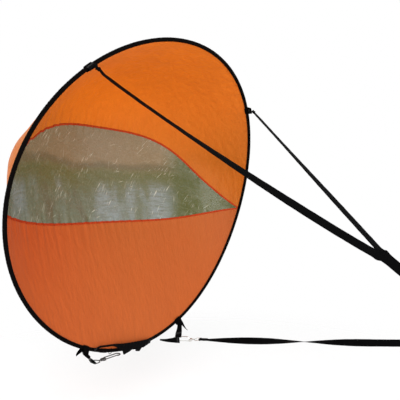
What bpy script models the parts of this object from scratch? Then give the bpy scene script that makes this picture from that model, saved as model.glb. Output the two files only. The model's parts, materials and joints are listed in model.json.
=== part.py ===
"""Round pop-up downwind sail for a canoe or kayak, as it is flown.

The hoop leans toward the paddler, who sits at -Y. The belly of the sail swells toward +Y,
+X is the paddler's right and +Z is up. The origin is the lowest point of the rim.
"""

import math

import bmesh
import bpy
from mathutils import Matrix, Vector

for item in list(bpy.data.objects):
    bpy.data.objects.remove(item, do_unlink=True)

# Clearance between neighbouring pieces
CLEAR = 0.0003

# Hoop and rim
HOOP_RADIUS = 0.540
SADDLE_DEPTH = 0.0277
LEAN_ANGLE = math.radians(16.55)
STEEL_WIDTH = 0.0066
STEEL_THICKNESS = 0.0014
STEEL_SPLIT = 0.0020
FERRULE_WALL = 0.0005
FERRULE_LENGTH = 0.030
BINDING_WALL = 0.0015
FERRULE_HALF_WIDTH = STEEL_WIDTH / 2 + CLEAR + FERRULE_WALL
FERRULE_HALF_HEIGHT = STEEL_THICKNESS / 2 + CLEAR + FERRULE_WALL
CAVITY_RADIUS = math.hypot(FERRULE_HALF_WIDTH, FERRULE_HALF_HEIGHT) + CLEAR
BINDING_RADIUS = CAVITY_RADIUS + BINDING_WALL

# Sail skin
FABRIC_THICKNESS = 0.0008
BELLY_DEPTH = 0.344
LIFT_SHARE = 0.8
# Near the rim the upper part is flatter and the part beside the window swells more
BROW_RISE = 0.22
BROW_SPAN = 0.35
BROW_EASE = 0.60
CHEEK_RISE = 0.175
CHEEK_SPREAD = 0.13
CHEEK_SWELL = 0.82
EDGE_POWER = 8
WINDOW_DROP = 0.036
WINDOW_RISE = 0.227
WINDOW_FALL = 0.117
RISE_SHARES = (1.084, -1.249)
LEFT_FILL = 0.70
FALL_SHARE = 0.711
TAPE_HALF_WIDTH = 0.0045
TAPE_THICKNESS = 0.0006
SKIN_DIRECTION_REACH = 0.020
SEAM_GAP = 0.0005
CROWN_RADIUS = (HOOP_RADIUS ** 2 + BELLY_DEPTH ** 2) / (2 * BELLY_DEPTH)
CORNER_REACH = math.sqrt(HOOP_RADIUS ** 2 - WINDOW_DROP ** 2)
COLUMN_SWING_SHARE = 0.85
PROBE_SHARE = 0.02
SEAM_SEARCH_SHARE = 0.9

# Counts round the rim and across the skin
SKIN_COLUMNS = 35
UPPER_ROWS = 8
FILM_ROWS = 6
LOWER_ROWS = 6
UPPER_TAB_STEPS = 8
LOWER_TAB_STEPS = 5
OUTER_POINTS = 10
CAVITY_POINTS = 8

# Webbing
WEBBING_WIDTH = 0.025
WEBBING_THICKNESS = 0.0016
UPPER_TAB_ANGLE = math.radians(44.9)
LOWER_TAB_OFFSET = math.radians(24.5)
SLIT_MARGIN_ANGLE = math.radians(14.0)
UPPER_FOLD_RADIUS = 0.0009
LOWER_TAB_REACH = 0.0100

# Bridle
HINGE_OUT = 0.0290
HINGE_DROP = 0.0060
KNOT_RADIUS = 0.0060
JUNCTION_OUT = 0.8962
JUNCTION_HEIGHT = 0.3958
LEAD_ANGLE = math.radians(38.0)
LEAD_LENGTH = 0.100
BEND_LENGTH = 0.024
NECK_WIDTH = 0.0100
NECK_THICKNESS = 0.0040
KNOT_LENGTH = 0.0130
SPREAD_LENGTH = 0.060
KNOT_SHARES = ((-0.80, 0.8), (-0.45, 1.5), (0.0, 1.75), (0.45, 1.5), (0.85, 1.0))
# How far each strap has turned on its way down, where the turn starts and ends, and its sag
STRAP_TURN_ANGLES = {-1: math.radians(35), 1: math.radians(12)}
STRAP_TURN_SHARES = (0.22, 0.80)
STRAP_LAST_TURN_SHARES = (0.965, 1.0)
STRAP_SAGS = {-1: 0.0190, 1: 0.0}
PLY_GAP = 0.0004
HAND_OPENING = 0.105
HAND_WIDTH = 0.060
HAND_STEP_ANGLE = math.radians(24)

# Snap hooks
WIRE_RADIUS = 0.0019
BARREL_RADIUS = 0.0050
BARREL_LENGTH = 0.0100
BARREL_WALL = 0.0016
STEM_RADIUS = 0.0018
STEM_HEAD_RADIUS = 0.0029
STEM_HEAD_LENGTH = 0.0028
HOOK_LENGTH = 0.082
HOOK_HALF_WIDTH = 0.0100
NOSE_LENGTH = 0.0070
GATE_THICKNESS = 0.0022
GATE_WIDTH = 0.0036
PIN_RADIUS = 0.0011
PIN_HEIGHT = 0.0135
KNUCKLE_RADIUS = 0.0027
LUG_THICKNESS = 0.0014
EYE_WIRE_RADIUS = 0.0016
EYE_HALF_WIDTH = 0.0152
EYE_LENGTH = 0.0310
EYE_NECK_LENGTH = 0.0070
EYE_SHOULDER_LENGTH = 0.0150

# Where the two lower hooks are held: centres of their eye bars and their directions
RIGHT_BAR = Vector((0.2500, -0.1016, -0.0113))
LEFT_BAR = Vector((-0.2085, -0.0270, 0.0080))
LEFT_NOSE = Vector((-0.0955, -0.0265, 0.0078))
RIGHT_GRIP_SHARE = 0.80

# Foot strap
FOOT_END = Vector((0.5421, -0.8352, 0.0498))
FOOT_TWIST_ANGLE = math.radians(270.0)
FOOT_OVERLAP = 0.030
FOOT_STEPS = 26
FOLD_MOUTH_ANGLE = math.radians(70)
FOLD_STEP_ANGLE = math.radians(44)
PINCH_SHARE = 2.2
PINCH_SPREAD_SHARE = 1.2
TWIST_END_SHARE = 0.86
TWIST_EASE = 0.20

# Small pieces at the foot of the rim
BAND_WIDTH = 0.022
BAND_THICKNESS = 0.0012
BAND_LEFT_ANGLE = math.radians(-158.5)
BAND_RIGHT_ANGLE = math.radians(172.5)
BAND_BOW = 0.0045
BAND_STEPS = 12
BAND_TURN_SHARES = (0.20, 0.35, 0.75)
BAND_END_WIDTH_SHARE = 0.55
BAND_END_ANGLE = math.radians(-174.7)
BAND_END_TURNS = (math.radians(200), math.radians(300))
PARK_ANGLE = math.radians(-167.6)
PARK_CORD_RADIUS = 0.0012
PARK_DROP = 0.0050
PARK_MARGIN_ANGLE = math.radians(19.6)
LONG_TAIL_LENGTH = 0.085
LONG_TAIL_STEPS = 8
TAIL_TIP_SHARE = 0.25
FREE_END_LENGTH = 0.060
LEFT_END_LENGTH = 0.034
END_WRAP_ANGLE = math.radians(34.0)
RIGHT_END_WAY = Vector((0.10, -0.76, -0.64))
LEFT_END_WAY = Vector((-0.80, 0.00, -0.60))
END_TAPER_SHARE = 0.8
FREE_END_STEPS = 6


LEAN = Matrix.Rotation(LEAN_ANGLE, 3, "X")
UP = Vector((0.0, 0.0, 1.0))
RIGHT = Vector((1.0, 0.0, 0.0))
SEARCH_STEPS = 40
NORMAL_SHARE = 0.0005
TURN = 2 * math.pi
WARP_LIMIT = 0.00002
MITRE_SHARE = 0.7


def unit(vector):
    """The vector at length one."""
    return vector.normalized()


def square_to(vector, axis):
    """The part of a vector that is square to an axis, at length one."""
    return unit(vector - axis * vector.dot(axis))


def bisect(function, low, high):
    """Where a rising function crosses zero."""
    for _ in range(SEARCH_STEPS):
        middle = (low + high) / 2
        if function(middle) > 0:
            high = middle
        else:
            low = middle
    return (low + high) / 2


def smooth(share):
    """A share from zero to one with soft ends."""
    share = min(max(share, 0.0), 1.0)
    return share * share * (3 - 2 * share)


def make_material(name, color, rough, metallic=0.0, alpha=1.0):
    """A Principled material."""
    material = bpy.data.materials.new(name)
    material.use_nodes = True
    shader = material.node_tree.nodes["Principled BSDF"]
    shader.inputs["Base Color"].default_value = (*color, 1.0)
    shader.inputs["Roughness"].default_value = rough
    shader.inputs["Metallic"].default_value = metallic
    shader.inputs["Alpha"].default_value = alpha
    return material


def warp(face):
    """How far a face's corners stand off its own plane."""
    centre = face.calc_center_median()
    return max(abs((vert.co - centre).dot(face.normal)) for vert in face.verts)


def add_solid(name, points, faces, material, origin=None, sharp_angle=math.radians(38)):
    """A closed mesh object whose origin sits at a given place."""
    origin = origin or Vector()
    mesh = bpy.data.meshes.new(name)
    mesh.from_pydata([point - origin for point in points], [], faces)
    work = bmesh.new()
    work.from_mesh(mesh)
    bmesh.ops.recalc_face_normals(work, faces=work.faces)
    warped = [face for face in work.faces if warp(face) > WARP_LIMIT]
    bmesh.ops.triangulate(work, faces=warped, quad_method="SHORT_EDGE")
    work.to_mesh(mesh)
    work.free()
    mesh.shade_smooth()
    mesh.set_sharp_from_angle(angle=sharp_angle)
    mesh.materials.append(material)
    result = bpy.data.objects.new(name, mesh)
    result.location = origin
    bpy.context.scene.collection.objects.link(result)
    return result


def loft(rings, closed=False):
    """Points and faces of a skin over rings of equal count."""
    count = len(rings[0])
    points = [point for ring in rings for point in ring]
    faces = []
    spans = len(rings) if closed else len(rings) - 1
    for index in range(spans):
        here = index * count
        there = (index + 1) % len(rings) * count
        for corner in range(count):
            after = (corner + 1) % count
            faces.append((here + corner, here + after, there + after, there + corner))
    if not closed:
        faces.append(tuple(range(count)))
        faces.append(tuple(len(points) - count + corner for corner in range(count)))
    return points, faces


def wire_rings(path, radius, plane_normal, closed=False, sides=8):
    """Round sections along a flat path."""
    rings = []
    last = len(path) - 1
    for index, centre in enumerate(path):
        before = path[index - 1] if index or closed else path[0]
        after = path[(index + 1) % len(path)] if index < last or closed else path[last]
        back_way = unit(centre - before) if centre != before else unit(after - centre)
        on_way = unit(after - centre) if after != centre else back_way
        tangent = unit(back_way + on_way)
        side = unit(tangent.cross(plane_normal))
        stretch = 1 / max(tangent.dot(on_way), MITRE_SHARE)
        ring = []
        for corner in range(sides):
            angle = TURN * (corner + 0.5) / sides
            ring.append(
                centre
                + side * (radius * stretch * math.cos(angle))
                + plane_normal * (radius * math.sin(angle))
            )
        rings.append(ring)
    return rings


def webbing_ring(centre, tangent, across, width, thickness):
    """One section of flat webbing with eased edges."""
    across = unit(across)
    normal = unit(tangent.cross(across))
    ease = min(thickness / 3, width / 3)
    half = width / 2
    thick = thickness / 2
    corners = (
        (half, thick / 2),
        (half - ease, thick),
        (ease - half, thick),
        (-half, thick / 2),
        (-half, -thick / 2),
        (ease - half, -thick),
        (half - ease, -thick),
        (half, -thick / 2),
    )
    return [centre + across * a + normal * b for a, b in corners]


def webbing_rings(stations, closed=False):
    """Sections of flat webbing; a station is its centre, across direction, width, thickness."""
    rings = []
    last = len(stations) - 1
    for index, (centre, across, width, thickness) in enumerate(stations):
        before = stations[index - 1][0] if index or closed else centre
        after = stations[(index + 1) % len(stations)][0] if index < last or closed else centre
        back_way = centre - before
        on_way = after - centre
        ways = [unit(way) for way in (back_way, on_way) if way.length > 0]
        tangent = unit(ways[0] + ways[-1])
        rings.append(webbing_ring(centre, tangent, across, width, thickness))
    return rings


def lathe(profile, sides):
    """Points and faces of a profile (radius, height) turned about Z, both ends on the axis."""
    rings = []
    for radius, height in profile:
        if radius == 0:
            rings.append([Vector((0.0, 0.0, height))])
            continue
        ring = []
        for corner in range(sides):
            angle = TURN * corner / sides
            ring.append(Vector((radius * math.cos(angle), radius * math.sin(angle), height)))
        rings.append(ring)
    points = [point for ring in rings for point in ring]
    starts = [sum(len(ring) for ring in rings[:index]) for index in range(len(rings))]
    faces = []
    closed_profile = len(rings[0]) > 1
    spans = len(rings) if closed_profile else len(rings) - 1
    for index in range(spans):
        other = (index + 1) % len(rings)
        for corner in range(sides):
            after = (corner + 1) % sides
            quad = []
            for ring_index, spot in ((index, corner), (index, after), (other, after), (other, corner)):
                spot = spot if len(rings[ring_index]) > 1 else 0
                vertex = starts[ring_index] + spot
                if vertex not in quad:
                    quad.append(vertex)
            if len(quad) > 2:
                faces.append(tuple(quad))
    return points, faces


def box(low, high):
    """Points and faces of a box between two corners."""
    points = [
        Vector((x, y, z))
        for x in (low[0], high[0])
        for y in (low[1], high[1])
        for z in (low[2], high[2])
    ]
    faces = [(0, 1, 3, 2), (4, 6, 7, 5), (0, 4, 5, 1), (2, 3, 7, 6), (0, 2, 6, 4), (1, 5, 7, 3)]
    return points, faces


def moved(shape, matrix):
    """Points and faces after a matrix."""
    points, faces = shape
    return [matrix @ point for point in points], faces


def fuse(shapes):
    """One joined mesh from overlapping closed shapes, as points and faces."""
    pieces = []
    for number, (points, faces) in enumerate(shapes):
        pieces.append(add_solid(f"fuse_{number}", points, faces, SCRATCH))
    target = pieces[0]
    for piece in pieces[1:]:
        union = target.modifiers.new(piece.name, "BOOLEAN")
        union.operation = "UNION"
        union.solver = "EXACT"
        union.object = piece
    graph = bpy.context.evaluated_depsgraph_get()
    graph.update()
    mesh = bpy.data.meshes.new_from_object(target.evaluated_get(graph))
    points = [vertex.co.copy() for vertex in mesh.vertices]
    faces = [tuple(polygon.vertices) for polygon in mesh.polygons]
    bpy.data.meshes.remove(mesh)
    for piece in pieces:
        bpy.data.objects.remove(piece, do_unlink=True)
    return points, faces


# Finishes
SCRATCH = make_material("scratch", (0.5, 0.5, 0.5), 0.5)
ORANGE = make_material("orange_fabric", (0.74, 0.16, 0.03), 0.72)
LOWER_ORANGE = make_material("orange_fabric_lower", (0.66, 0.12, 0.03), 0.72)
FILM = make_material("clear_film", (0.72, 0.80, 0.84), 0.12, alpha=0.45)
TAPE = make_material("red_tape", (0.26, 0.03, 0.02), 0.70)
BINDING = make_material("black_binding", (0.016, 0.016, 0.018), 0.80)
WEBBING = make_material("black_webbing", (0.012, 0.012, 0.014), 0.78)
ELASTIC = make_material("black_elastic", (0.020, 0.020, 0.023), 0.85)
SPRING_STEEL = make_material("spring_steel", (0.30, 0.31, 0.33), 0.35, metallic=1.0)
NICKEL = make_material("nickel_hook", (0.62, 0.61, 0.58), 0.25, metallic=1.0)


# Sail skin in the hoop's own frame: X across, Y from the paddler, Z along the leaning height
def skin_point(x, z):
    """Point of the sail skin at a place in the hoop's plane."""
    saddle = -SADDLE_DEPTH * (z * z - x * x) / HOOP_RADIUS ** 2
    crown = math.sqrt(CROWN_RADIUS ** 2 - x * x - z * z) - (CROWN_RADIUS - BELLY_DEPTH)
    rise = z / HOOP_RADIUS
    cheek = CHEEK_SWELL * math.exp(-((rise - CHEEK_RISE) / CHEEK_SPREAD) ** 2)
    brow = BROW_EASE * smooth((rise - BROW_RISE) / BROW_SPAN)
    edge = (math.hypot(x, z) / HOOP_RADIUS) ** EDGE_POWER
    return Vector((x, saddle + crown * (1 + LIFT_SHARE * rise + edge * (cheek - brow)), z))


def skin_normal(x, z):
    """Normal of the skin on its belly side."""
    step = NORMAL_SHARE * HOOP_RADIUS
    along_x = skin_point(x + step, z) - skin_point(x - step, z)
    along_z = skin_point(x, z + step) - skin_point(x, z - step)
    return unit(along_z.cross(along_x))


def rim_point(angle):
    """Point of the hoop's centre line, counted from the top toward +X."""
    return skin_point(HOOP_RADIUS * math.sin(angle), HOOP_RADIUS * math.cos(angle))


def inside_rim(angle, reach):
    """Place in the hoop's plane where the skin is a given reach away from the rim line."""
    rim = rim_point(angle)

    def too_far(inset):
        radius = HOOP_RADIUS - inset
        return (skin_point(radius * math.sin(angle), radius * math.cos(angle)) - rim).length - reach

    radius = HOOP_RADIUS - bisect(too_far, 0.0, reach)
    return radius * math.sin(angle), radius * math.cos(angle)


def upper_seam(share, shift=0.0):
    """Place of the upper seam at a share of its half length."""
    square = share * share
    swell = 1 + RISE_SHARES[0] * square + RISE_SHARES[1] * square * square
    fill = LEFT_FILL * square ** 3 * (1 - square) ** 2 if share < 0 else 0.0
    return CORNER_REACH * share, -WINDOW_DROP + WINDOW_RISE * (1 - square) * swell + fill + shift


def lower_seam(share, shift=0.0):
    """Place of the lower seam at a share of its half length."""
    square = share * share
    swell = 1 + FALL_SHARE * square
    return CORNER_REACH * share, -WINDOW_DROP - WINDOW_FALL * (1 - square) * swell + shift


def seam_end(seam, shift):
    """Share of a seam's half length at which it meets the rim binding."""

    def beyond(share):
        x, z = seam(share, shift)
        edge_x, edge_z = inside_rim(math.atan2(x, z), CAVITY_RADIUS)
        return math.hypot(x, z) - math.hypot(edge_x, edge_z)

    return bisect(beyond, SEAM_SEARCH_SHARE, 1.0)


UPPER_END = seam_end(upper_seam, SEAM_GAP / 2)
LOWER_END = seam_end(lower_seam, -SEAM_GAP / 2)
FILM_UPPER_END = seam_end(upper_seam, -SEAM_GAP / 2)
FILM_LOWER_END = seam_end(lower_seam, SEAM_GAP / 2)
UPPER_LIMIT = math.atan2(*upper_seam(UPPER_END, SEAM_GAP / 2))
LOWER_LIMIT = math.pi - math.atan2(*lower_seam(LOWER_END, -SEAM_GAP / 2))
HALF_COLUMNS = SKIN_COLUMNS / 2


def stepped_angle(step, tab_angle, tab_steps, limit):
    """Angle of a rim station: a tab sits on the middle of one straight length."""
    size = abs(step)
    knee = tab_steps + 0.5
    knee_angle = tab_angle * knee / tab_steps
    if size <= knee:
        angle = tab_angle * size / tab_steps
    else:
        angle = knee_angle + (limit - knee_angle) * (size - knee) / (HALF_COLUMNS - knee)
    return math.copysign(angle, step)


def upper_angle(step):
    """Rim station over the upper panel."""
    return stepped_angle(step, UPPER_TAB_ANGLE, UPPER_TAB_STEPS, UPPER_LIMIT)


def lower_angle(step):
    """Rim station under the lower panel."""
    return math.pi - stepped_angle(step, LOWER_TAB_OFFSET, LOWER_TAB_STEPS, LOWER_LIMIT)


STEPS = [number - HALF_COLUMNS for number in range(SKIN_COLUMNS + 1)]
STATIONS = sorted(
    angle % TURN
    for step in STEPS
    for angle in (upper_angle(step), lower_angle(step))
)
FOOT = LEAN @ ((rim_point(lower_angle(0.5)) + rim_point(lower_angle(-0.5))) / 2)
FOOT = FOOT - UP * BINDING_RADIUS


def place(point):
    """A point of the hoop's frame in the part's frame."""
    return LEAN @ point - FOOT


def rim_frame(angle):
    """Centre, way round, inward, back and skin directions on the straight length at an angle."""
    angle = angle % TURN
    after = next((station for station in STATIONS if station > angle), STATIONS[0] + TURN)
    before = next((station for station in reversed(STATIONS) if station <= angle), STATIONS[-1] - TURN)
    share = (angle - before) / (after - before)
    start = rim_point(before)
    stop = rim_point(after)
    centre = start.lerp(stop, share)
    way = unit(stop - start)
    inward = square_to(Vector((-centre.x, 0.0, -centre.z)), way)
    skin = square_to(skin_point(*inside_rim(angle, SKIN_DIRECTION_REACH)) - rim_point(angle), way)
    back = way.cross(inward)
    return place(centre), LEAN @ way, LEAN @ inward, LEAN @ back, LEAN @ skin


# Sail panels, window film and tapes
def column_share(number):
    """How far a column stands out along a seam, from minus one to one."""
    share = 2 * number / SKIN_COLUMNS - 1
    return COLUMN_SWING_SHARE * math.sin(math.pi / 2 * share) + (1 - COLUMN_SWING_SHARE) * share


def column_places(start, stop, rows, tape_at_stop=False):
    """Places down a column, with a narrow row beside each taped edge."""

    def mix(share):
        return tuple(a + (b - a) * share for a, b in zip(start, stop))

    pace = (skin_point(*mix(PROBE_SHARE)) - skin_point(*start)).length / PROBE_SHARE
    first = min(TAPE_HALF_WIDTH / max(pace, TAPE_HALF_WIDTH), 0.5 / rows)
    if not tape_at_stop:
        shares = [0.0] + [first + (1 - first) * row / (rows - 1) for row in range(rows)]
        return [mix(share) for share in shares]
    pace = (skin_point(*stop) - skin_point(*mix(1 - PROBE_SHARE))).length / PROBE_SHARE
    last = min(TAPE_HALF_WIDTH / max(pace, TAPE_HALF_WIDTH), 0.5 / rows)
    inner = rows - 2
    shares = [0.0] + [first + (1 - first - last) * row / inner for row in range(inner + 1)] + [1.0]
    return [mix(share) for share in shares]


def skin_layer(name, columns, near, far, material):
    """A closed sheet over columns of places, between two offsets from the skin."""
    points = []
    index = {}
    for number, column in enumerate(columns):
        for row, spot in enumerate(column):
            normal = skin_normal(*spot)
            for side, offset in enumerate((near, far)):
                index[number, row, side] = len(points)
                points.append(place(skin_point(*spot) + normal * offset))
    rows = max(len(column) for column in columns) - 1

    def vertex(number, row, side):
        return index[number, min(row, len(columns[number]) - 1), side]

    faces = []

    def add(corners):
        kept = [corner for at, corner in enumerate(corners) if corner not in corners[:at]]
        if len(kept) > 2:
            faces.append(tuple(kept))

    last = len(columns) - 1
    for number in range(last):
        for row in range(rows):
            for side in (0, 1):
                add([vertex(number, row, side), vertex(number + 1, row, side),
                     vertex(number + 1, row + 1, side), vertex(number, row + 1, side)])
        for row in (0, rows):
            add([vertex(number, row, 0), vertex(number + 1, row, 0),
                 vertex(number + 1, row, 1), vertex(number, row, 1)])
    for number in (0, last):
        for row in range(rows):
            add([vertex(number, row, 0), vertex(number, row + 1, 0),
                 vertex(number, row + 1, 1), vertex(number, row, 1)])
    return add_solid(name, points, faces, material)


def build_skin():
    """Upper panel, lower panel, film and the two tapes."""
    upper, lower, film = [], [], []
    for number, step in enumerate(STEPS):
        share = column_share(number)
        end = number in (0, SKIN_COLUMNS)
        upper_edge = upper_seam(share * UPPER_END, SEAM_GAP / 2)
        lower_edge = lower_seam(share * LOWER_END, -SEAM_GAP / 2)
        top = inside_rim(upper_angle(step), CAVITY_RADIUS)
        bottom = inside_rim(lower_angle(step), CAVITY_RADIUS)
        upper.append([upper_edge] if end else column_places(upper_edge, top, UPPER_ROWS))
        lower.append([lower_edge] if end else column_places(lower_edge, bottom, LOWER_ROWS))
        film.append(
            column_places(
                lower_seam(share * FILM_LOWER_END, SEAM_GAP / 2),
                upper_seam(share * FILM_UPPER_END, -SEAM_GAP / 2),
                FILM_ROWS,
                tape_at_stop=True,
            )
        )
    half = FABRIC_THICKNESS / 2
    skin_layer("upper_panel", upper, -half, half, ORANGE)
    skin_layer("lower_panel", lower, -half, half, LOWER_ORANGE)
    skin_layer("window_film", film, -half, half, FILM)
    near = -half - CLEAR - TAPE_THICKNESS
    far = -half - CLEAR
    upper_tape, lower_tape = [], []
    for number in range(1, SKIN_COLUMNS):
        share = column_share(number)
        upper_tape.append([film[number][-2], upper_seam(share * UPPER_END), upper[number][1]])
        lower_tape.append([lower[number][1], lower_seam(share * LOWER_END), film[number][1]])
    skin_layer("window_top_tape", upper_tape, near, far, TAPE)
    skin_layer("window_bottom_tape", lower_tape, near, far, TAPE)


# Rim
def station_frame(number):
    """Centre and directions at a rim station, in the part's frame."""
    here = rim_point(STATIONS[number])
    before = rim_point(STATIONS[number - 1])
    after = rim_point(STATIONS[(number + 1) % len(STATIONS)])
    way = unit(unit(here - before) + unit(after - here))
    inward = square_to(Vector((-here.x, 0.0, -here.z)), way)
    skin_spot = skin_point(*inside_rim(STATIONS[number], SKIN_DIRECTION_REACH))
    skin = square_to(skin_spot - here, way)
    back = way.cross(inward)
    return place(here), LEAN @ way, LEAN @ inward, LEAN @ back, LEAN @ skin


def build_rim():
    """Binding with its slit, the spring-steel band and the ferrule."""
    slit_half = FABRIC_THICKNESS / 2 + CLEAR
    outer_start = math.asin(slit_half / BINDING_RADIUS)
    cavity_start = math.asin(slit_half / CAVITY_RADIUS)
    rings = []
    for number in range(len(STATIONS)):
        centre, way, _, _, skin = station_frame(number)
        side = way.cross(skin)
        ring = []
        for point in range(OUTER_POINTS):
            angle = outer_start + (TURN - 2 * outer_start) * point / (OUTER_POINTS - 1)
            ring.append(centre + (skin * math.cos(angle) + side * math.sin(angle)) * BINDING_RADIUS)
        for point in range(CAVITY_POINTS):
            angle = cavity_start + (TURN - 2 * cavity_start) * point / (CAVITY_POINTS - 1)
            spot = skin * math.cos(angle) - side * math.sin(angle)
            ring.append(centre + spot * CAVITY_RADIUS / math.cos(math.pi / (CAVITY_POINTS - 1)))
        rings.append(ring)
    add_solid("rim_binding", *loft(rings, closed=True), BINDING)

    foot_centre, foot_way, foot_inward, foot_back, _ = rim_frame(math.pi)

    def band_ring(centre, inward, back):
        wide = back * (STEEL_WIDTH / 2)
        thick = inward * (STEEL_THICKNESS / 2)
        return [centre + wide + thick, centre - wide + thick, centre - wide - thick, centre + wide - thick]

    middle = STATIONS.index(next(station for station in STATIONS if station > math.pi))
    order = [(middle + number) % len(STATIONS) for number in range(len(STATIONS))]
    rings = [band_ring(foot_centre + foot_way * (STEEL_SPLIT / 2), foot_inward, foot_back)]
    for number in order:
        centre, _, inward, back, _ = station_frame(number)
        rings.append(band_ring(centre, inward, back))
    rings.append(band_ring(foot_centre - foot_way * (STEEL_SPLIT / 2), foot_inward, foot_back))
    add_solid("hoop", *loft(rings), SPRING_STEEL)

    wide_outer = foot_back * FERRULE_HALF_WIDTH
    thick_outer = foot_inward * FERRULE_HALF_HEIGHT
    wide_inner = foot_back * (STEEL_WIDTH / 2 + CLEAR)
    thick_inner = foot_inward * (STEEL_THICKNESS / 2 + CLEAR)
    signs = ((1, 1), (-1, 1), (-1, -1), (1, -1))
    points = []
    for end in (-1, 1):
        centre = foot_centre + foot_way * (end * FERRULE_LENGTH / 2)
        points += [centre + wide_outer * a + thick_outer * b for a, b in signs]
        points += [centre + wide_inner * a + thick_inner * b for a, b in signs]
    faces = []
    for corner in range(4):
        after = (corner + 1) % 4
        faces.append((corner, after, after + 8, corner + 8))
        faces.append((corner + 4, after + 4, after + 12, corner + 12))
        faces.append((corner, after, after + 4, corner + 4))
        faces.append((corner + 8, after + 8, after + 12, corner + 12))
    add_solid("hoop_ferrule", points, faces, SPRING_STEEL)


# Webbing loops and straps
LEG_SHARES = (0.2, 0.4, 0.6, 0.8)
TAB_FOLD_STEP = math.radians(30)
PIVOT_FOLD_STEP = math.radians(45)
HAND_FOLD_RADIUS = UPPER_FOLD_RADIUS + WEBBING_THICKNESS / 2


def eased(start, stop, way, share):
    """A point between two ends whose drift along the rim starts and stops softly."""
    drift = (stop - start).dot(way)
    return start.lerp(stop, share) + way * (drift * (smooth(share) - share))


def arc_steps(start, stop, largest=math.radians(22)):
    """Angles from start to stop in equal steps, and how much the chords must be let out."""
    count = max(2, math.ceil(abs(stop - start) / largest))
    angles = [start + (stop - start) * number / count for number in range(count + 1)]
    return angles, 1 / math.cos(abs(stop - start) / count / 2)


def rim_tab(angle, target, bar_axis, bar_radius):
    """Stations of webbing that wraps the rim, clears the skin and folds round a bar."""
    centre, way, inward, back, skin = rim_frame(angle)
    radius = BINDING_RADIUS + CLEAR + WEBBING_THICKNESS / 2
    toward = target - centre
    lead = math.atan2(toward.dot(back), toward.dot(inward))
    slit = (math.atan2(skin.dot(back), skin.dot(inward)) - lead) % TURN
    if bar_axis.dot(way) < 0:
        bar_axis = -bar_axis
    stations = []

    def add(point, across):
        stations.append((point, across, WEBBING_WIDTH, WEBBING_THICKNESS))

    def on_rim(turn, let_out):
        spot = inward * math.cos(lead + turn) + back * math.sin(lead + turn)
        return centre + spot * (radius * let_out)

    angles, let_out = arc_steps(slit - SLIT_MARGIN_ANGLE, math.pi / 2)
    for turn in angles:
        add(on_rim(turn, let_out), way)
    ahead = square_to(toward, bar_axis)
    aside = bar_axis.cross(ahead)
    fold = bar_radius + CLEAR + WEBBING_THICKNESS / 2
    turns, fold_out = arc_steps(math.pi / 2, -math.pi / 2, TAB_FOLD_STEP)
    folded = [target + (ahead * math.cos(turn) + aside * math.sin(turn)) * (fold * fold_out)
              for turn in turns]
    start = stations[-1][0]
    for share in LEG_SHARES:
        add(eased(start, folded[0], way, share), way.lerp(bar_axis, smooth(share)))
    for point in folded:
        add(point, bar_axis)
    angles, let_out = arc_steps(3 * math.pi / 2, slit + SLIT_MARGIN_ANGLE)
    stop = on_rim(angles[0], let_out)
    for share in reversed(LEG_SHARES):
        add(eased(stop, folded[-1], way, share), way.lerp(bar_axis, smooth(share)))
    for turn in angles:
        add(on_rim(turn, let_out), way)
    return stations


def drop_loop(name, pivot, pivot_axis, target, bar_axis, bar_radius):
    """A closed webbing loop that hangs from a folding line and holds a bar in its bight."""
    if bar_axis.dot(pivot_axis) < 0:
        bar_axis = -bar_axis
    toward = target - pivot
    top_ahead = square_to(toward, pivot_axis)
    top_aside = pivot_axis.cross(top_ahead)
    low_ahead = square_to(toward, bar_axis)
    low_aside = bar_axis.cross(low_ahead)
    quarter = math.pi / 2
    low_turns, low_out = arc_steps(quarter, -quarter, TAB_FOLD_STEP)
    top_turns, top_out = arc_steps(-quarter, -3 * quarter, PIVOT_FOLD_STEP)
    low_radius = (bar_radius + CLEAR + WEBBING_THICKNESS / 2) * low_out
    top_radius = HAND_FOLD_RADIUS * top_out
    low = [target + (low_ahead * math.cos(turn) + low_aside * math.sin(turn)) * low_radius
           for turn in low_turns]
    top = [pivot + (top_ahead * math.cos(turn) + top_aside * math.sin(turn)) * top_radius
           for turn in top_turns]
    path = [(point, bar_axis) for point in low]
    path += [(low[-1].lerp(top[0], share), bar_axis.lerp(pivot_axis, smooth(share)))
             for share in LEG_SHARES]
    path += [(point, pivot_axis) for point in top]
    path += [(top[-1].lerp(low[0], share), pivot_axis.lerp(bar_axis, smooth(share)))
             for share in LEG_SHARES]
    stations = [(point, across, WEBBING_WIDTH, WEBBING_THICKNESS) for point, across in path]
    strip(name, stations, pivot, closed=True)


def lower_pivot(angle, target):
    """Folding line below a lower tab: the tab's own fold, the drop's pivot and the way round."""
    centre, way, _, _, _ = rim_frame(angle)
    ahead = square_to(target - centre, way)
    fold = centre + ahead * (BINDING_RADIUS + LOWER_TAB_REACH)
    tab_fold = (UPPER_FOLD_RADIUS + CLEAR + WEBBING_THICKNESS / 2) / math.cos(TAB_FOLD_STEP / 2)
    drop_fold = HAND_FOLD_RADIUS / math.cos(PIVOT_FOLD_STEP / 2)
    pivot = fold + ahead * (tab_fold + WEBBING_THICKNESS + CLEAR + drop_fold)
    return fold, pivot, way


def strip(name, stations, origin, material=WEBBING, closed=False):
    """A piece of flat webbing."""
    return add_solid(name, *loft(webbing_rings(stations, closed), closed), material, origin)


def twisted(start, stop, start_across, stop_across, steps, width, thickness=WEBBING_THICKNESS,
            start_width=None):
    """Stations of a straight strip that twists from one across direction to another."""
    result = []
    for number in range(steps + 1):
        share = number / steps
        wide = width if start_width is None else start_width + (width - start_width) * share
        result.append((start.lerp(stop, share), start_across.lerp(stop_across, smooth(share)),
                       wide, thickness))
    return result


def upper_hinge(side):
    """Hinge point of a bridle strap at its upper tab."""
    centre = rim_frame(side * UPPER_TAB_ANGLE)[0]
    return centre + Vector((0.0, -HINGE_OUT, -HINGE_DROP))


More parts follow.
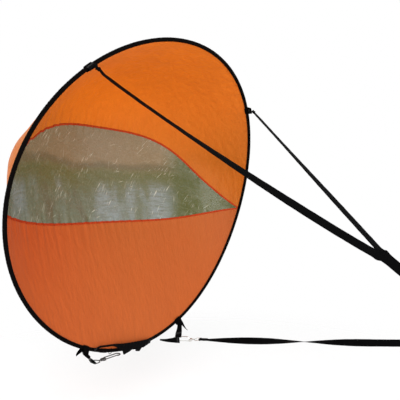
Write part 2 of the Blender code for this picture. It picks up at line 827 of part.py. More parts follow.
LEAD_WAY = Vector((0.0, -math.cos(LEAD_ANGLE), -math.sin(LEAD_ANGLE)))
LEAD_ACROSS = Vector((0.0, -math.sin(LEAD_ANGLE), math.cos(LEAD_ANGLE)))
JUNCTION = Vector((0.0, -JUNCTION_OUT, JUNCTION_HEIGHT))
LEAD_END = JUNCTION + LEAD_WAY * LEAD_LENGTH
HAND_PIVOT = LEAD_END + LEAD_WAY * (HAND_FOLD_RADIUS + WEBBING_THICKNESS / 2 + CLEAR)
STRAP_STEPS = 26
STRAP_LAST_STEPS = (1 / 4, 1 / 2, 3 / 4, 1.0)


def bridle_path(side):
    """Stations of one bridle strap from its knot at the tab to the hand loop."""
    hinge = upper_hinge(side)
    meet = JUNCTION + RIGHT * (side * (WEBBING_THICKNESS + PLY_GAP) / 2)
    way = unit(meet - hinge)
    start_across = square_to(RIGHT, way)
    stop_across = square_to(LEAD_ACROSS, way)
    length = (meet - hinge).length - BEND_LENGTH / 2
    stations = []
    turn_start, turn_stop = STRAP_TURN_SHARES
    last_start, last_stop = STRAP_LAST_TURN_SHARES
    early_turn = STRAP_TURN_ANGLES[side]
    for along, size in KNOT_SHARES:
        stations.append((hinge + way * (KNOT_RADIUS * along), start_across,
                         KNOT_RADIUS * size, KNOT_RADIUS * size))
    stations.append((hinge + way * KNOT_LENGTH, start_across, NECK_WIDTH, NECK_THICKNESS))
    steps = [number / STRAP_STEPS for number in range(STRAP_STEPS)]
    steps += [1 - (1 - part) / STRAP_STEPS for part in STRAP_LAST_STEPS]
    for step in steps:
        along = 2 * KNOT_LENGTH + (length - 2 * KNOT_LENGTH) * step
        share = along / length
        last_turn = smooth((share - last_start) / (last_stop - last_start))
        turn = early_turn * smooth((share - turn_start) / (turn_stop - turn_start))
        turn += (math.pi / 2 - early_turn) * last_turn
        sag = UP * (-STRAP_SAGS[side] * math.sqrt(max(math.sin(math.pi * share), 0.0)))
        spread = smooth(along / SPREAD_LENGTH)
        width = NECK_WIDTH + (WEBBING_WIDTH - NECK_WIDTH) * spread
        thickness = NECK_THICKNESS + (WEBBING_THICKNESS - NECK_THICKNESS) * spread
        across = start_across * math.cos(turn) + stop_across * math.sin(turn)
        stations.append((hinge + way * along + sag, across, width, thickness))
    bend_start = meet - way * (BEND_LENGTH / 2)
    bend_stop = meet + LEAD_WAY * (BEND_LENGTH / 2)
    for share in (1 / 3, 2 / 3, 1.0):
        near = bend_start.lerp(meet, share)
        on = meet.lerp(bend_stop, share)
        stations.append((near.lerp(on, share), LEAD_ACROSS, WEBBING_WIDTH, WEBBING_THICKNESS))
    stations.append((meet + LEAD_WAY * LEAD_LENGTH, LEAD_ACROSS, WEBBING_WIDTH, WEBBING_THICKNESS))
    return stations


def build_bridle():
    """Upper tabs, the two bridle straps and the hand loop."""
    for side, label in ((-1, "left"), (1, "right")):
        hinge = upper_hinge(side)
        centre, way, _, _, _ = rim_frame(side * UPPER_TAB_ANGLE)
        ahead = unit(hinge - centre)
        reach = KNOT_RADIUS + CLEAR + WEBBING_THICKNESS + CLEAR + UPPER_FOLD_RADIUS
        stations = rim_tab(side * UPPER_TAB_ANGLE, hinge - ahead * reach, way, UPPER_FOLD_RADIUS)
        strip(f"upper_{label}_tab", stations, None)
        strip(f"bridle_strap_{label}", bridle_path(side), hinge)
    stations = []
    half_width = HAND_WIDTH / 2
    lean = math.asin((half_width - HAND_FOLD_RADIUS) / HAND_OPENING)
    far_centre = HAND_PIVOT + LEAD_WAY * HAND_OPENING
    quarter = math.pi / 2
    turns, let_out = arc_steps(quarter + lean, -quarter - lean, HAND_STEP_ANGLE)
    for turn in turns:
        spot = LEAD_WAY * math.cos(turn) + RIGHT * math.sin(turn)
        stations.append((far_centre + spot * (half_width * let_out), LEAD_ACROSS,
                         WEBBING_WIDTH, WEBBING_THICKNESS))
    turns, let_out = arc_steps(-quarter - lean, quarter + lean - TURN, PIVOT_FOLD_STEP)
    for turn in turns:
        spot = LEAD_WAY * math.cos(turn) + RIGHT * math.sin(turn)
        stations.append((HAND_PIVOT + spot * (HAND_FOLD_RADIUS * let_out), LEAD_ACROSS,
                         WEBBING_WIDTH, WEBBING_THICKNESS))
    strip("hand_loop", stations, HAND_PIVOT, closed=True)


# Snap hooks, in their own frame: Z from the eye to the bow, X toward the gate
BOW_HEIGHT = HOOK_LENGTH - WIRE_RADIUS - HOOK_HALF_WIDTH
GATE_OUT = HOOK_HALF_WIDTH - WIRE_RADIUS - CLEAR - GATE_THICKNESS / 2
CHAMBER_TOP = BARREL_WALL + STEM_HEAD_LENGTH + 2 * CLEAR
HOOK_REACH = HOOK_LENGTH + EYE_LENGTH
BARREL_SIDES = 14


def hook_shapes():
    """Body, gate and eye of a snap hook as points and faces."""
    inner = STEM_RADIUS + CLEAR
    chamber = STEM_HEAD_RADIUS + CLEAR
    barrel = lathe(
        [(0.0, CHAMBER_TOP), (chamber, CHAMBER_TOP), (chamber, BARREL_WALL), (inner, BARREL_WALL),
         (inner, 0.0), (BARREL_RADIUS, 0.0), (BARREL_RADIUS, BARREL_LENGTH), (0.0, BARREL_LENGTH)],
        BARREL_SIDES,
    )
    root = (BARREL_LENGTH + CHAMBER_TOP) / 2
    turned = BARREL_LENGTH + HOOK_HALF_WIDTH
    places = [(0.0, root), (-WIRE_RADIUS, BARREL_LENGTH + WIRE_RADIUS),
              (WIRE_RADIUS - HOOK_HALF_WIDTH, turned - 2 * WIRE_RADIUS), (-HOOK_HALF_WIDTH, turned)]
    for number in range(11):
        turn = math.pi * (1 - number / 10)
        places.append((HOOK_HALF_WIDTH * math.cos(turn), BOW_HEIGHT + HOOK_HALF_WIDTH * math.sin(turn)))
    places.append((HOOK_HALF_WIDTH, BOW_HEIGHT - NOSE_LENGTH))
    path = [Vector((x, 0.0, z)) for x, z in places]
    normal = Vector((0.0, 1.0, 0.0))
    wire = loft(wire_rings(path, WIRE_RADIUS, normal))
    slot = GATE_WIDTH / 2 + CLEAR
    shapes = [barrel, wire]
    lug_low = root
    lug_high = PIN_HEIGHT + PIN_RADIUS + LUG_THICKNESS
    lug_out = GATE_OUT + PIN_RADIUS + LUG_THICKNESS
    for side in (-1, 1):
        near, far = sorted((side * slot, side * (slot + LUG_THICKNESS)))
        shapes.append(box((WIRE_RADIUS, near, lug_low), (lug_out, far, lug_high)))
    along_y = Matrix.Rotation(-math.pi / 2, 3, "X")
    pin_half = slot + LUG_THICKNESS / 2
    pin = lathe([(0.0, -pin_half), (PIN_RADIUS, -pin_half), (PIN_RADIUS, pin_half), (0.0, pin_half)], 10)
    pin_place = Vector((GATE_OUT, 0.0, PIN_HEIGHT))

    def at_pin(shape):
        points, faces = shape
        return [along_y @ point + pin_place for point in points], faces

    shapes.append(at_pin(pin))
    body = fuse(shapes)
    bore = PIN_RADIUS + CLEAR
    knuckle = lathe(
        [(bore, -GATE_WIDTH / 2), (KNUCKLE_RADIUS, -GATE_WIDTH / 2),
         (KNUCKLE_RADIUS, GATE_WIDTH / 2), (bore, GATE_WIDTH / 2)],
        12,
    )
    bar_low = PIN_HEIGHT + (bore + KNUCKLE_RADIUS) / 2
    bar_half = GATE_THICKNESS / 2
    bar_side = GATE_WIDTH / 2 - CLEAR
    bar = box((GATE_OUT - bar_half, -bar_side, bar_low), (GATE_OUT + bar_half, bar_side, BOW_HEIGHT))
    gate = fuse([at_pin(knuckle), bar])
    head_low = BARREL_WALL + CLEAR
    stem_low = -EYE_NECK_LENGTH
    stem = lathe(
        [(0.0, stem_low), (STEM_RADIUS, stem_low), (STEM_RADIUS, head_low),
         (STEM_HEAD_RADIUS, head_low), (STEM_HEAD_RADIUS, head_low + STEM_HEAD_LENGTH),
         (0.0, head_low + STEM_HEAD_LENGTH)],
        12,
    )
    shoulder = EYE_HALF_WIDTH - EYE_WIRE_RADIUS
    half = [(0.0, stem_low), (EYE_HALF_WIDTH / 3, stem_low - EYE_WIRE_RADIUS),
            (shoulder, -EYE_SHOULDER_LENGTH), (EYE_HALF_WIDTH, -EYE_SHOULDER_LENGTH - EYE_WIRE_RADIUS),
            (EYE_HALF_WIDTH, EYE_WIRE_RADIUS - EYE_LENGTH), (shoulder, -EYE_LENGTH)]
    outline = half + [(-y, z) for y, z in reversed(half[1:])]
    ring = loft(wire_rings([Vector((0.0, y, z)) for y, z in outline], EYE_WIRE_RADIUS,
                           Vector((1.0, 0.0, 0.0)), closed=True), closed=True)
    eye = fuse([stem, ring])
    return body, gate, eye


def hook_frame(bar, bow, gate_side):
    """Matrix of a hook whose eye bar is at one point and whose bow points at another."""
    ahead = unit(bow - bar)
    side = square_to(gate_side, ahead)
    normal = ahead.cross(side)
    frame = Matrix((side, normal, ahead)).transposed().to_4x4()
    frame.translation = bar + ahead * EYE_LENGTH
    return frame


def build_hook(label, shapes, frame, eye_frame):
    """The three pieces of one snap hook."""
    body, gate, eye = shapes
    pivot = frame @ Vector((GATE_OUT, 0.0, PIN_HEIGHT))
    bar = eye_frame @ Vector((0.0, 0.0, -EYE_LENGTH))
    add_solid(f"{label}_hook_body", *moved(body, frame), NICKEL, frame.translation.copy())
    add_solid(f"{label}_hook_gate", *moved(gate, frame), NICKEL, pivot)
    add_solid(f"{label}_hook_eye", *moved(eye, eye_frame), NICKEL, bar)


def rim_end(name, angle, run, length, side):
    """A free webbing end that lies on a tab's wrap and then leaves in its own direction."""
    centre, way, inward, back, _ = rim_frame(angle)
    radius = BINDING_RADIUS + 2 * CLEAR + 3 * WEBBING_THICKNESS / 2
    leave = math.atan2(run.dot(back), run.dot(inward)) + side * math.pi / 2
    turns, let_out = arc_steps(leave + side * END_WRAP_ANGLE, leave)
    stations = []
    for turn in turns:
        spot = inward * math.cos(turn) + back * math.sin(turn)
        stations.append((centre + spot * (radius * let_out), way, WEBBING_WIDTH, WEBBING_THICKNESS))
    start = stations[-1][0]
    stop = start + unit(run) * length
    for number in range(1, FREE_END_STEPS + 1):
        share = number / FREE_END_STEPS
        width = WEBBING_WIDTH * (1 - END_TAPER_SHARE * share)
        stations.append((eased(start, stop, way, share), way.lerp(unit(way + UP), smooth(share)),
                         width, WEBBING_THICKNESS))
    strip(name, stations, None)


def build_foot():
    """Lower tabs, the three hooks, the foot strap and the small pieces at the rim's foot."""
    shapes = hook_shapes()
    right_angle = math.pi - LOWER_TAB_OFFSET
    left_angle = math.pi + LOWER_TAB_OFFSET

    foot_way = unit(FOOT_END - RIGHT_BAR)
    right_frame = hook_frame(RIGHT_BAR, RIGHT_BAR - foot_way, -UP)
    build_hook("right", shapes, right_frame, right_frame)
    grip_height = HOOK_REACH * RIGHT_GRIP_SHARE - EYE_LENGTH
    grip = right_frame @ Vector((-HOOK_HALF_WIDTH, 0.0, grip_height))
    right_ahead = right_frame.to_3x3().col[2].copy()
    right_normal = right_frame.to_3x3().col[1].copy()
    right_side = right_frame.to_3x3().col[0].copy()
    fold, right_pivot, way = lower_pivot(right_angle, grip)
    strip("lower_right_tab", rim_tab(right_angle, fold, way, UPPER_FOLD_RADIUS), None)
    drop_loop("lower_right_drop", right_pivot, way, grip, right_ahead, WIRE_RADIUS)
    fold_out = WIRE_RADIUS + 3 * CLEAR + 3 * WEBBING_THICKNESS / 2
    tail_start = grip + right_normal * fold_out - right_ahead * (WEBBING_WIDTH * TAIL_TIP_SHARE)
    tail_stop = tail_start + right_ahead * LONG_TAIL_LENGTH + right_side * (WEBBING_WIDTH / 2)
    tail_start = tail_start + right_side * (WEBBING_WIDTH / 2)
    strip("lower_right_tail", twisted(tail_start, tail_stop, right_side, right_side + right_normal,
                                      LONG_TAIL_STEPS, WEBBING_WIDTH * TAIL_TIP_SHARE,
                                      start_width=WEBBING_WIDTH), right_pivot)

    left_eye = hook_frame(LEFT_BAR, LEFT_NOSE, UP)
    left_frame = hook_frame(LEFT_BAR, LEFT_NOSE, Vector((0.0, -1.0, 0.0)))
    build_hook("left", shapes, left_frame, left_eye)
    left_bar_axis = left_eye.to_3x3().col[1].copy()
    fold, left_pivot, way = lower_pivot(left_angle, LEFT_BAR)
    strip("lower_left_tab", rim_tab(left_angle, fold, way, UPPER_FOLD_RADIUS), None)
    drop_loop("lower_left_drop", left_pivot, way, LEFT_BAR, left_bar_axis, EYE_WIRE_RADIUS)

    rim_end("lower_right_end", right_angle, RIGHT_END_WAY, FREE_END_LENGTH, 1)
    rim_end("lower_left_end", left_angle, LEFT_END_WAY, LEFT_END_LENGTH, -1)

    far_bow = FOOT_END + foot_way * HOOK_REACH
    near_across = square_to(right_normal, foot_way)
    far_across = Matrix.Rotation(FOOT_TWIST_ANGLE, 3, foot_way) @ near_across
    far_frame = hook_frame(FOOT_END, far_bow, far_across)
    far_eye_side = far_frame.to_3x3().col[0].copy()
    far_eye = hook_frame(FOOT_END, far_bow, far_eye_side.cross(unit(far_bow - FOOT_END)))
    build_hook("far", shapes, far_frame, far_eye)
    build_foot_strap(foot_way, right_normal)
    build_rim_trim()


def build_foot_strap(foot_way, near_axis):
    """The strap from the right hook's eye to the far hook's eye, folded round both bars."""
    fold = EYE_WIRE_RADIUS + CLEAR + WEBBING_THICKNESS / 2
    ply = (WEBBING_THICKNESS + PLY_GAP) / 2
    stations = []

    def add(point, across):
        stations.append((point, across, WEBBING_WIDTH, WEBBING_THICKNESS))

    near_across = square_to(near_axis, foot_way)
    near_side = foot_way.cross(near_across)
    add(RIGHT_BAR + foot_way * FOOT_OVERLAP - near_side * ply, near_across)
    add(RIGHT_BAR + foot_way * (PINCH_SHARE * fold) - near_side * ply * PINCH_SPREAD_SHARE, near_across)
    turns, let_out = arc_steps(-FOLD_MOUTH_ANGLE, FOLD_MOUTH_ANGLE - TURN, FOLD_STEP_ANGLE)
    for turn in turns:
        spot = foot_way * math.cos(turn) + near_side * math.sin(turn)
        add(RIGHT_BAR + spot * (fold * let_out), near_across)
    add(RIGHT_BAR + foot_way * (PINCH_SHARE * fold) + near_side * ply * PINCH_SPREAD_SHARE, near_across)
    start = RIGHT_BAR + foot_way * FOOT_OVERLAP
    stop = FOOT_END - foot_way * FOOT_OVERLAP
    for number in range(FOOT_STEPS + 1):
        share = number / FOOT_STEPS
        turn = FOOT_TWIST_ANGLE * smooth_twist(share)
        across = Matrix.Rotation(turn, 3, foot_way) @ near_across
        side = foot_way.cross(across)
        add(start.lerp(stop, share) + side * ply, across)
    far_across = Matrix.Rotation(FOOT_TWIST_ANGLE, 3, foot_way) @ near_across
    far_side = foot_way.cross(far_across)
    add(FOOT_END - foot_way * (PINCH_SHARE * fold) + far_side * ply * PINCH_SPREAD_SHARE, far_across)
    for turn in turns:
        angle = turn + math.pi
        spot = foot_way * math.cos(-angle) + far_side * math.sin(-angle)
        add(FOOT_END + spot * (fold * let_out), far_across)
    add(FOOT_END - foot_way * (PINCH_SHARE * fold) - far_side * ply * PINCH_SPREAD_SHARE, far_across)
    add(FOOT_END - foot_way * FOOT_OVERLAP - far_side * ply, far_across)
    strip("foot_strap", stations, RIGHT_BAR)


def smooth_twist(share):
    """How much of the twist is done at a share of the foot strap."""
    done = min(share / TWIST_END_SHARE, 1.0)
    return (1 - TWIST_EASE) * done + TWIST_EASE * smooth(done)


def build_rim_trim():
    """Storage band, its sewn end and the parking loop."""
    left = rim_frame(BAND_LEFT_ANGLE)
    right = rim_frame(BAND_RIGHT_ANGLE)
    out = BINDING_RADIUS + CLEAR + BAND_THICKNESS / 2
    start = left[0] - left[3] * out
    stop = right[0] - right[3] * out
    run = unit(stop - start)
    flat = square_to(left[2], run)
    edge = run.cross(flat)
    edge_back = edge if edge.dot(left[3]) > 0 else -edge
    stations = []
    edge_on, turn_start, turn_stop = BAND_TURN_SHARES
    for number in range(BAND_STEPS + 1):
        share = number / BAND_STEPS
        turn_back = smooth((share - turn_start) / (turn_stop - turn_start))
        turn = math.pi / 2 * smooth(share / edge_on) * (1 - turn_back)
        across = flat * math.cos(turn) + edge * math.sin(turn)
        spread = smooth(min(share, 1 - share) / edge_on)
        width = BAND_WIDTH * (BAND_END_WIDTH_SHARE + (1 - BAND_END_WIDTH_SHARE) * spread)
        forward = BAND_WIDTH / 2 * abs(math.sin(turn)) + BAND_BOW * math.sin(math.pi * share)
        centre = start.lerp(stop, share) - edge_back * forward
        stations.append((centre, across, width, BAND_THICKNESS))
    strip("storage_band", stations, None, ELASTIC)

    centre, way, inward, back, _ = rim_frame(BAND_END_ANGLE)
    radius = BINDING_RADIUS + CLEAR + BAND_THICKNESS / 2
    turns, let_out = arc_steps(*BAND_END_TURNS)
    stations = []
    for turn in turns:
        spot = inward * math.cos(turn) + back * math.sin(turn)
        stations.append((centre + spot * (radius * let_out), way, BAND_WIDTH, BAND_THICKNESS))
    strip("storage_band_end", stations, None, ELASTIC)

    centre, way, inward, back, skin = rim_frame(PARK_ANGLE)
    radius = BINDING_RADIUS + CLEAR + PARK_CORD_RADIUS
    slit = math.atan2(skin.dot(back), skin.dot(inward)) % TURN
    turns, let_out = arc_steps(slit + PARK_MARGIN_ANGLE, slit + TURN - PARK_MARGIN_ANGLE)
    path = []
    for turn in turns:
        spot = inward * math.cos(turn) + back * math.sin(turn)
        drop = -inward * (PARK_DROP * max(0.0, -math.cos(turn)) ** 2)
        path.append(centre + spot * (radius * let_out) + drop)
    add_solid("parking_loop", *loft(wire_rings(path, PARK_CORD_RADIUS, way, sides=7)), WEBBING)


build_skin()
build_rim()
build_bridle()
build_foot()
bpy.data.materials.remove(SCRATCH)
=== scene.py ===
"""Dressed model of a round pop-up downwind sail for a canoe or kayak, as it is flown."""

import json
import logging
import math
from dataclasses import dataclass, field
from enum import Enum
from typing import Callable, Optional, Sequence

import bpy
from mathutils import Matrix, Vector


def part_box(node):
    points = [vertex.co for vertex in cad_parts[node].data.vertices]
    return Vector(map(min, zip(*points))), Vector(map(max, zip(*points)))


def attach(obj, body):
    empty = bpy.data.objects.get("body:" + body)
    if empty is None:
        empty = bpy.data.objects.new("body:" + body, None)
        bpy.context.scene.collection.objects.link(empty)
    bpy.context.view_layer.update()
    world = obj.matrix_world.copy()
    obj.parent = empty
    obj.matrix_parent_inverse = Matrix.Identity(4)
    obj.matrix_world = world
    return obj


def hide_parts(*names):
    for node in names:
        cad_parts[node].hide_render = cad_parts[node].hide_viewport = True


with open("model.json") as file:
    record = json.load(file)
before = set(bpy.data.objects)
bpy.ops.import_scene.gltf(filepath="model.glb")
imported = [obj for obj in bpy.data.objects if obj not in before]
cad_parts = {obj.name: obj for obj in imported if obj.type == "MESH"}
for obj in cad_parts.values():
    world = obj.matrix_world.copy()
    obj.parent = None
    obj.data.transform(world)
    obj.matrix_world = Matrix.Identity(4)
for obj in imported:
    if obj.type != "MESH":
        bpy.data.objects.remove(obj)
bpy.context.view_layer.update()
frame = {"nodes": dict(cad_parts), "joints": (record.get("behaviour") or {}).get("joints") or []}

LOG = logging.getLogger("canoe_sail")
TURN = 2 * math.pi
UP = Vector((0.0, 0.0, 1.0))
RIGHT = Vector((1.0, 0.0, 0.0))
MM = 0.001


def unit(vector: Vector) -> Vector:
    """The vector at length one."""
    return vector.normalized()


def square_to(vector: Vector, axis: Vector) -> Vector:
    """The part of a vector that is square to an axis, at length one."""
    return unit(vector - axis * vector.dot(axis))


def smooth(share: float) -> float:
    """A share from zero to one with soft ends."""
    share = min(max(share, 0.0), 1.0)
    return share * share * (3 - 2 * share)


def ripple(place: float, seed: float) -> float:
    """A wandering value between about minus one and one.

    Args:
        place: Where along the line, in waves of roughly one unit.
        seed: Picks one line among many.

    Returns:
        The value there.
    """
    total = math.sin(place * 6.1 + seed * 1.7) + 0.7 * math.sin(place * 9.7 + seed * 4.1)
    total += 0.5 * math.sin(place * 15.3 + seed * 2.3) + 0.35 * math.sin(place * 3.1 + seed * 7.9)
    return total / 2.2


def swing(first: Vector, second: Vector, turn: float) -> Vector:
    """The direction at a turn from the first direction toward the second."""
    return first * math.cos(turn) + second * math.sin(turn)


# Drafting meshes
@dataclass
class Draft:
    """Points, faces and surface coordinates of a piece that is being made."""

    points: list[Vector] = field(default_factory=list)
    faces: list[tuple[int, ...]] = field(default_factory=list)
    uvs: list[tuple[tuple[float, float], ...]] = field(default_factory=list)
    slots: list[int] = field(default_factory=list)

    def face(self, corners: Sequence[int], uv: Sequence[tuple[float, float]], slot: int = 0) -> None:
        """Adds a face, without corners that repeat.

        Args:
            corners: Indices of its points.
            uv: Surface coordinates of its corners.
            slot: Which finish it takes.
        """
        kept, marks = [], []
        for corner, mark in zip(corners, uv):
            if corner not in kept:
                kept.append(corner)
                marks.append(mark)
        if len(kept) > 2:
            self.faces.append(tuple(kept))
            self.uvs.append(tuple(marks))
            self.slots.append(slot)

    def rings(self, rings: Sequence[Sequence[Vector]], around: Sequence[float],
              along: Sequence[float], closed: bool = False, slot: int = 0, caps: bool = True) -> None:
        """Skins rings of equal count.

        Args:
            rings: The rings, each a closed loop of points.
            around: Surface coordinate of each point round a ring, and of the first again.
            along: Surface coordinate of each ring, and of the first again where closed.
            closed: Whether the last ring meets the first.
            slot: Which finish the skin takes.
            caps: Whether open ends are closed off.
        """
        first = len(self.points)
        count = len(rings[0])
        for ring in rings:
            self.points.extend(ring)
        spans = len(rings) if closed else len(rings) - 1
        for index in range(spans):
            here = first + index * count
            there = first + (index + 1) % len(rings) * count
            for corner in range(count):
                after = (corner + 1) % count
                self.face(
                    (here + corner, here + after, there + after, there + corner),
                    ((along[index], around[corner]), (along[index], around[corner + 1]),
                     (along[index + 1], around[corner + 1]), (along[index + 1], around[corner])),
                    slot,
                )
        if not closed and caps:
            for start, mark in ((first, along[0]), (first + (len(rings) - 1) * count, along[-1])):
                self.face(tuple(range(start, start + count)),
                          tuple((mark, around[corner]) for corner in range(count)), slot)

    def tube(self, path: Sequence[Vector], radius: Callable[[float], float] | float,
             sides: int = 12, closed: bool = False, slot: int = 0,
             normal: Optional[Vector] = None, flat: float = 1.0) -> None:
        """Skins a round wire along a path.

        Args:
            path: Its centre points.
            radius: Its radius, or the radius at a share of the path.
            sides: Points round it.
            closed: Whether it meets itself.
            slot: Which finish it takes.
            normal: A direction square to the path, where one is known.
            flat: Thickness along the normal as a share of the width.
        """
        count = len(path)
        rings, along, length = [], [0.0], 0.0
        carried = normal
        for index, centre in enumerate(path):
            before = path[index - 1] if index or closed else centre
            after = path[(index + 1) % count] if index < count - 1 or closed else centre
            tangent = unit(after - before)
            if carried is None:
                carried = tangent.orthogonal()
            carried = square_to(carried, tangent)
            side = tangent.cross(carried)
            size = radius(index / (count - 1)) if callable(radius) else radius
            rings.append([
                centre + side * (size * math.cos(TURN * corner / sides))
                + carried * (size * flat * math.sin(TURN * corner / sides))
                for corner in range(sides)
            ])
            length += (after - centre).length
            along.append(length)
        around = [corner / sides * TURN * 2 * MM for corner in range(sides + 1)]
        self.rings(rings, around, along, closed, slot)

    def lathe(self, profile: Sequence[tuple[float, float]], sides: int, turn: Matrix,
              slot: int = 0) -> None:
        """Skins a profile that is turned about its axis.

        Args:
            profile: Radius and height of each ring, from one end to the other.
            sides: Points round it.
            turn: Takes the turned shape to its place.
            slot: Which finish it takes.
        """
        rings = [
            [turn @ Vector((radius * math.cos(TURN * corner / sides),
                            radius * math.sin(TURN * corner / sides), height))
             for corner in range(sides)]
            for radius, height in profile
        ]
        around = [corner / sides * 10 * MM for corner in range(sides + 1)]
        self.rings(rings, around, [height for _, height in profile] + [0.0], False, slot)

    def stitch(self, start: Vector, stop: Vector, lift: Vector, radius: float, slot: int) -> None:
        """Adds one stitch that lies on a surface.

        Args:
            start: Where the thread comes out.
            stop: Where it goes in.
            lift: Direction out of the surface.
            radius: The thread's radius.
            slot: Which finish it takes.
        """
        middle = (start + stop) / 2 + lift * radius
        path = [start - lift * radius, start.lerp(middle, 0.6) + lift * radius * 0.3, middle,
                stop.lerp(middle, 0.6) + lift * radius * 0.3, stop - lift * radius]
        self.tube(path, radius, 5, slot=slot, normal=lift)

    def build(self, name: str, materials: Sequence[bpy.types.Material],
              crease: float = 50.0) -> bpy.types.Object:
        """Makes the object.

        Args:
            name: Its name.
            materials: Its finishes, by slot.
            crease: Edges that turn by more than this many degrees stay sharp.

        Returns:
            The object, in the scene.
        """
        mesh = bpy.data.meshes.new(name)
        mesh.from_pydata(self.points, [], self.faces)
        layer = mesh.uv_layers.new(name="UVMap")
        flat = [value for marks in self.uvs for mark in marks for value in mark]
        layer.data.foreach_set("uv", flat)
        mesh.polygons.foreach_set("material_index", self.slots)
        for material in materials:
            mesh.materials.append(material)
        mesh.validate()
        mesh.shade_smooth()
        mesh.set_sharp_from_angle(angle=math.radians(crease))
        piece = bpy.data.objects.new(name, mesh)
        bpy.context.scene.collection.objects.link(piece)
        LOG.info("%s: %d faces", name, len(mesh.polygons))
        return piece


# Shader wiring
class Wiring:
    """Adds and joins the nodes of one tree."""

    def __init__(self, tree: bpy.types.NodeTree) -> None:
        """Takes the tree to work on."""
        self.tree = tree

    def node(self, kind: str, values: Optional[dict[str, object]] = None,
             **settings: object) -> bpy.types.Node:
        """Adds a node.

        Args:
            kind: Blender's name for it.
            values: What its inputs are joined to or set to.
            settings: Its own properties.

        Returns:
            The node.
        """
        made = self.tree.nodes.new(kind)
        for key, value in settings.items():
            setattr(made, key, value)
        self.fill(made, values or {})
        return made

    def fill(self, node: bpy.types.Node, values: dict[str, object]) -> None:
        """Joins or sets inputs of a node."""
        for key, value in values.items():
            self.put(node.inputs[key], value)

    def put(self, socket: bpy.types.NodeSocket, value: object) -> None:
        """Joins an input to an output, or sets its value; a colour needs no alpha.

        Args:
            socket: The input.
            value: The output or number that it takes.
        """
        if isinstance(value, bpy.types.NodeSocket):
            self.tree.links.new(value, socket)
        elif socket.type == "RGBA":
            socket.default_value = (*value[:3], 1.0)
        else:
            socket.default_value = value

    def math(self, operation: str, *values: object, clamp: bool = False) -> bpy.types.NodeSocket:
        """The result of a Math node.

        Args:
            operation: The kind of sum.
            values: What goes in.
            clamp: Whether the result stays between zero and one.

        Returns:
            The result.
        """
        made = self.node("ShaderNodeMath", operation=operation, use_clamp=clamp)
        for socket, value in zip(made.inputs, values):
            self.put(socket, value)
        return made.outputs[0]

    def times(self, first: object, second: object) -> bpy.types.NodeSocket:
        """The product of two values."""
        return self.math("MULTIPLY", first, second)

    def plus(self, first: object, second: object) -> bpy.types.NodeSocket:
        """The sum of two values."""
        return self.math("ADD", first, second)

    def rest(self, value: object) -> bpy.types.NodeSocket:
        """What is left of one."""
        return self.math("SUBTRACT", 1.0, value)

    def wave(self, value: object) -> bpy.types.NodeSocket:
        """The height of a rounded ridge that repeats."""
        return self.math("ABSOLUTE", self.math("SINE", value))

    def place(self) -> bpy.types.NodeSocket:
        """The place in the part's frame."""
        return self.node("ShaderNodeTexCoord").outputs["Object"]

    def marks(self) -> bpy.types.NodeSocket:
        """The surface coordinates, in metres."""
        return self.node("ShaderNodeUVMap", uv_map="UVMap").outputs[0]

    def parts(self, vector: object) -> bpy.types.NodeOutputs:
        """The three parts of a vector."""
        return self.node("ShaderNodeSeparateXYZ", {"Vector": vector}).outputs

    def mix(self, share: object, first: object, second: object) -> bpy.types.NodeSocket:
        """A colour between two colours.

        Args:
            share: How much of the second colour there is.
            first: The first colour.
            second: The second colour.

        Returns:
            The mixed colour.
        """
        made = self.node("ShaderNodeMix", data_type="RGBA")
        self.put(made.inputs[0], share)
        self.put(made.inputs[6], first)
        self.put(made.inputs[7], second)
        return made.outputs[2]

    def remap(self, value: object, low: float, high: float,
              new_low: float = 0.0, new_high: float = 1.0) -> bpy.types.NodeSocket:
        """A value taken from one range to another, with soft ends.

        Args:
            value: The value.
            low: Where its range starts.
            high: Where its range ends.
            new_low: Where the new range starts.
            new_high: Where the new range ends.

        Returns:
            The value in the new range.
        """
        made = self.node("ShaderNodeMapRange", interpolation_type="SMOOTHSTEP")
        for socket, number in zip(made.inputs, (value, low, high, new_low, new_high)):
            self.put(socket, number)
        return made.outputs[0]

    def noise(self, vector: object, scale: float, detail: float = 3.0,
              rough: float = 0.5) -> bpy.types.NodeSocket:
        """A noise value.

        Args:
            vector: Where it is read.
            scale: How often it changes in a metre.
            detail: How many finer layers it has.
            rough: How strong they are.

        Returns:
            The noise.
        """
        made = self.node("ShaderNodeTexNoise",
                         {"Vector": vector, "Scale": scale, "Detail": detail, "Roughness": rough})
        return made.outputs[0]

    def stretch(self, vector: object, scale: tuple[float, float, float],
                turn: float = 0.0) -> bpy.types.NodeSocket:
        """A vector turned back about Z and then stretched.

        Args:
            vector: The vector.
            scale: How much it is stretched in each direction.
            turn: The angle that it is turned back by.

        Returns:
            The new vector.
        """
        made = self.node("ShaderNodeMapping", {"Vector": vector, "Scale": tuple(1 / part for part in scale),
                                               "Rotation": (0.0, 0.0, turn)}, vector_type="TEXTURE")
        return made.outputs[0]

    def group(self, tree: bpy.types.NodeTree, values: dict[str, object]) -> bpy.types.NodeOutputs:
        """Places a node group and gives its outputs.

        Args:
            tree: The group.
            values: Its inputs by name.

        Returns:
            Its outputs.
        """
        made = self.node("ShaderNodeGroup", node_tree=tree)
        self.fill(made, values)
        return made.outputs


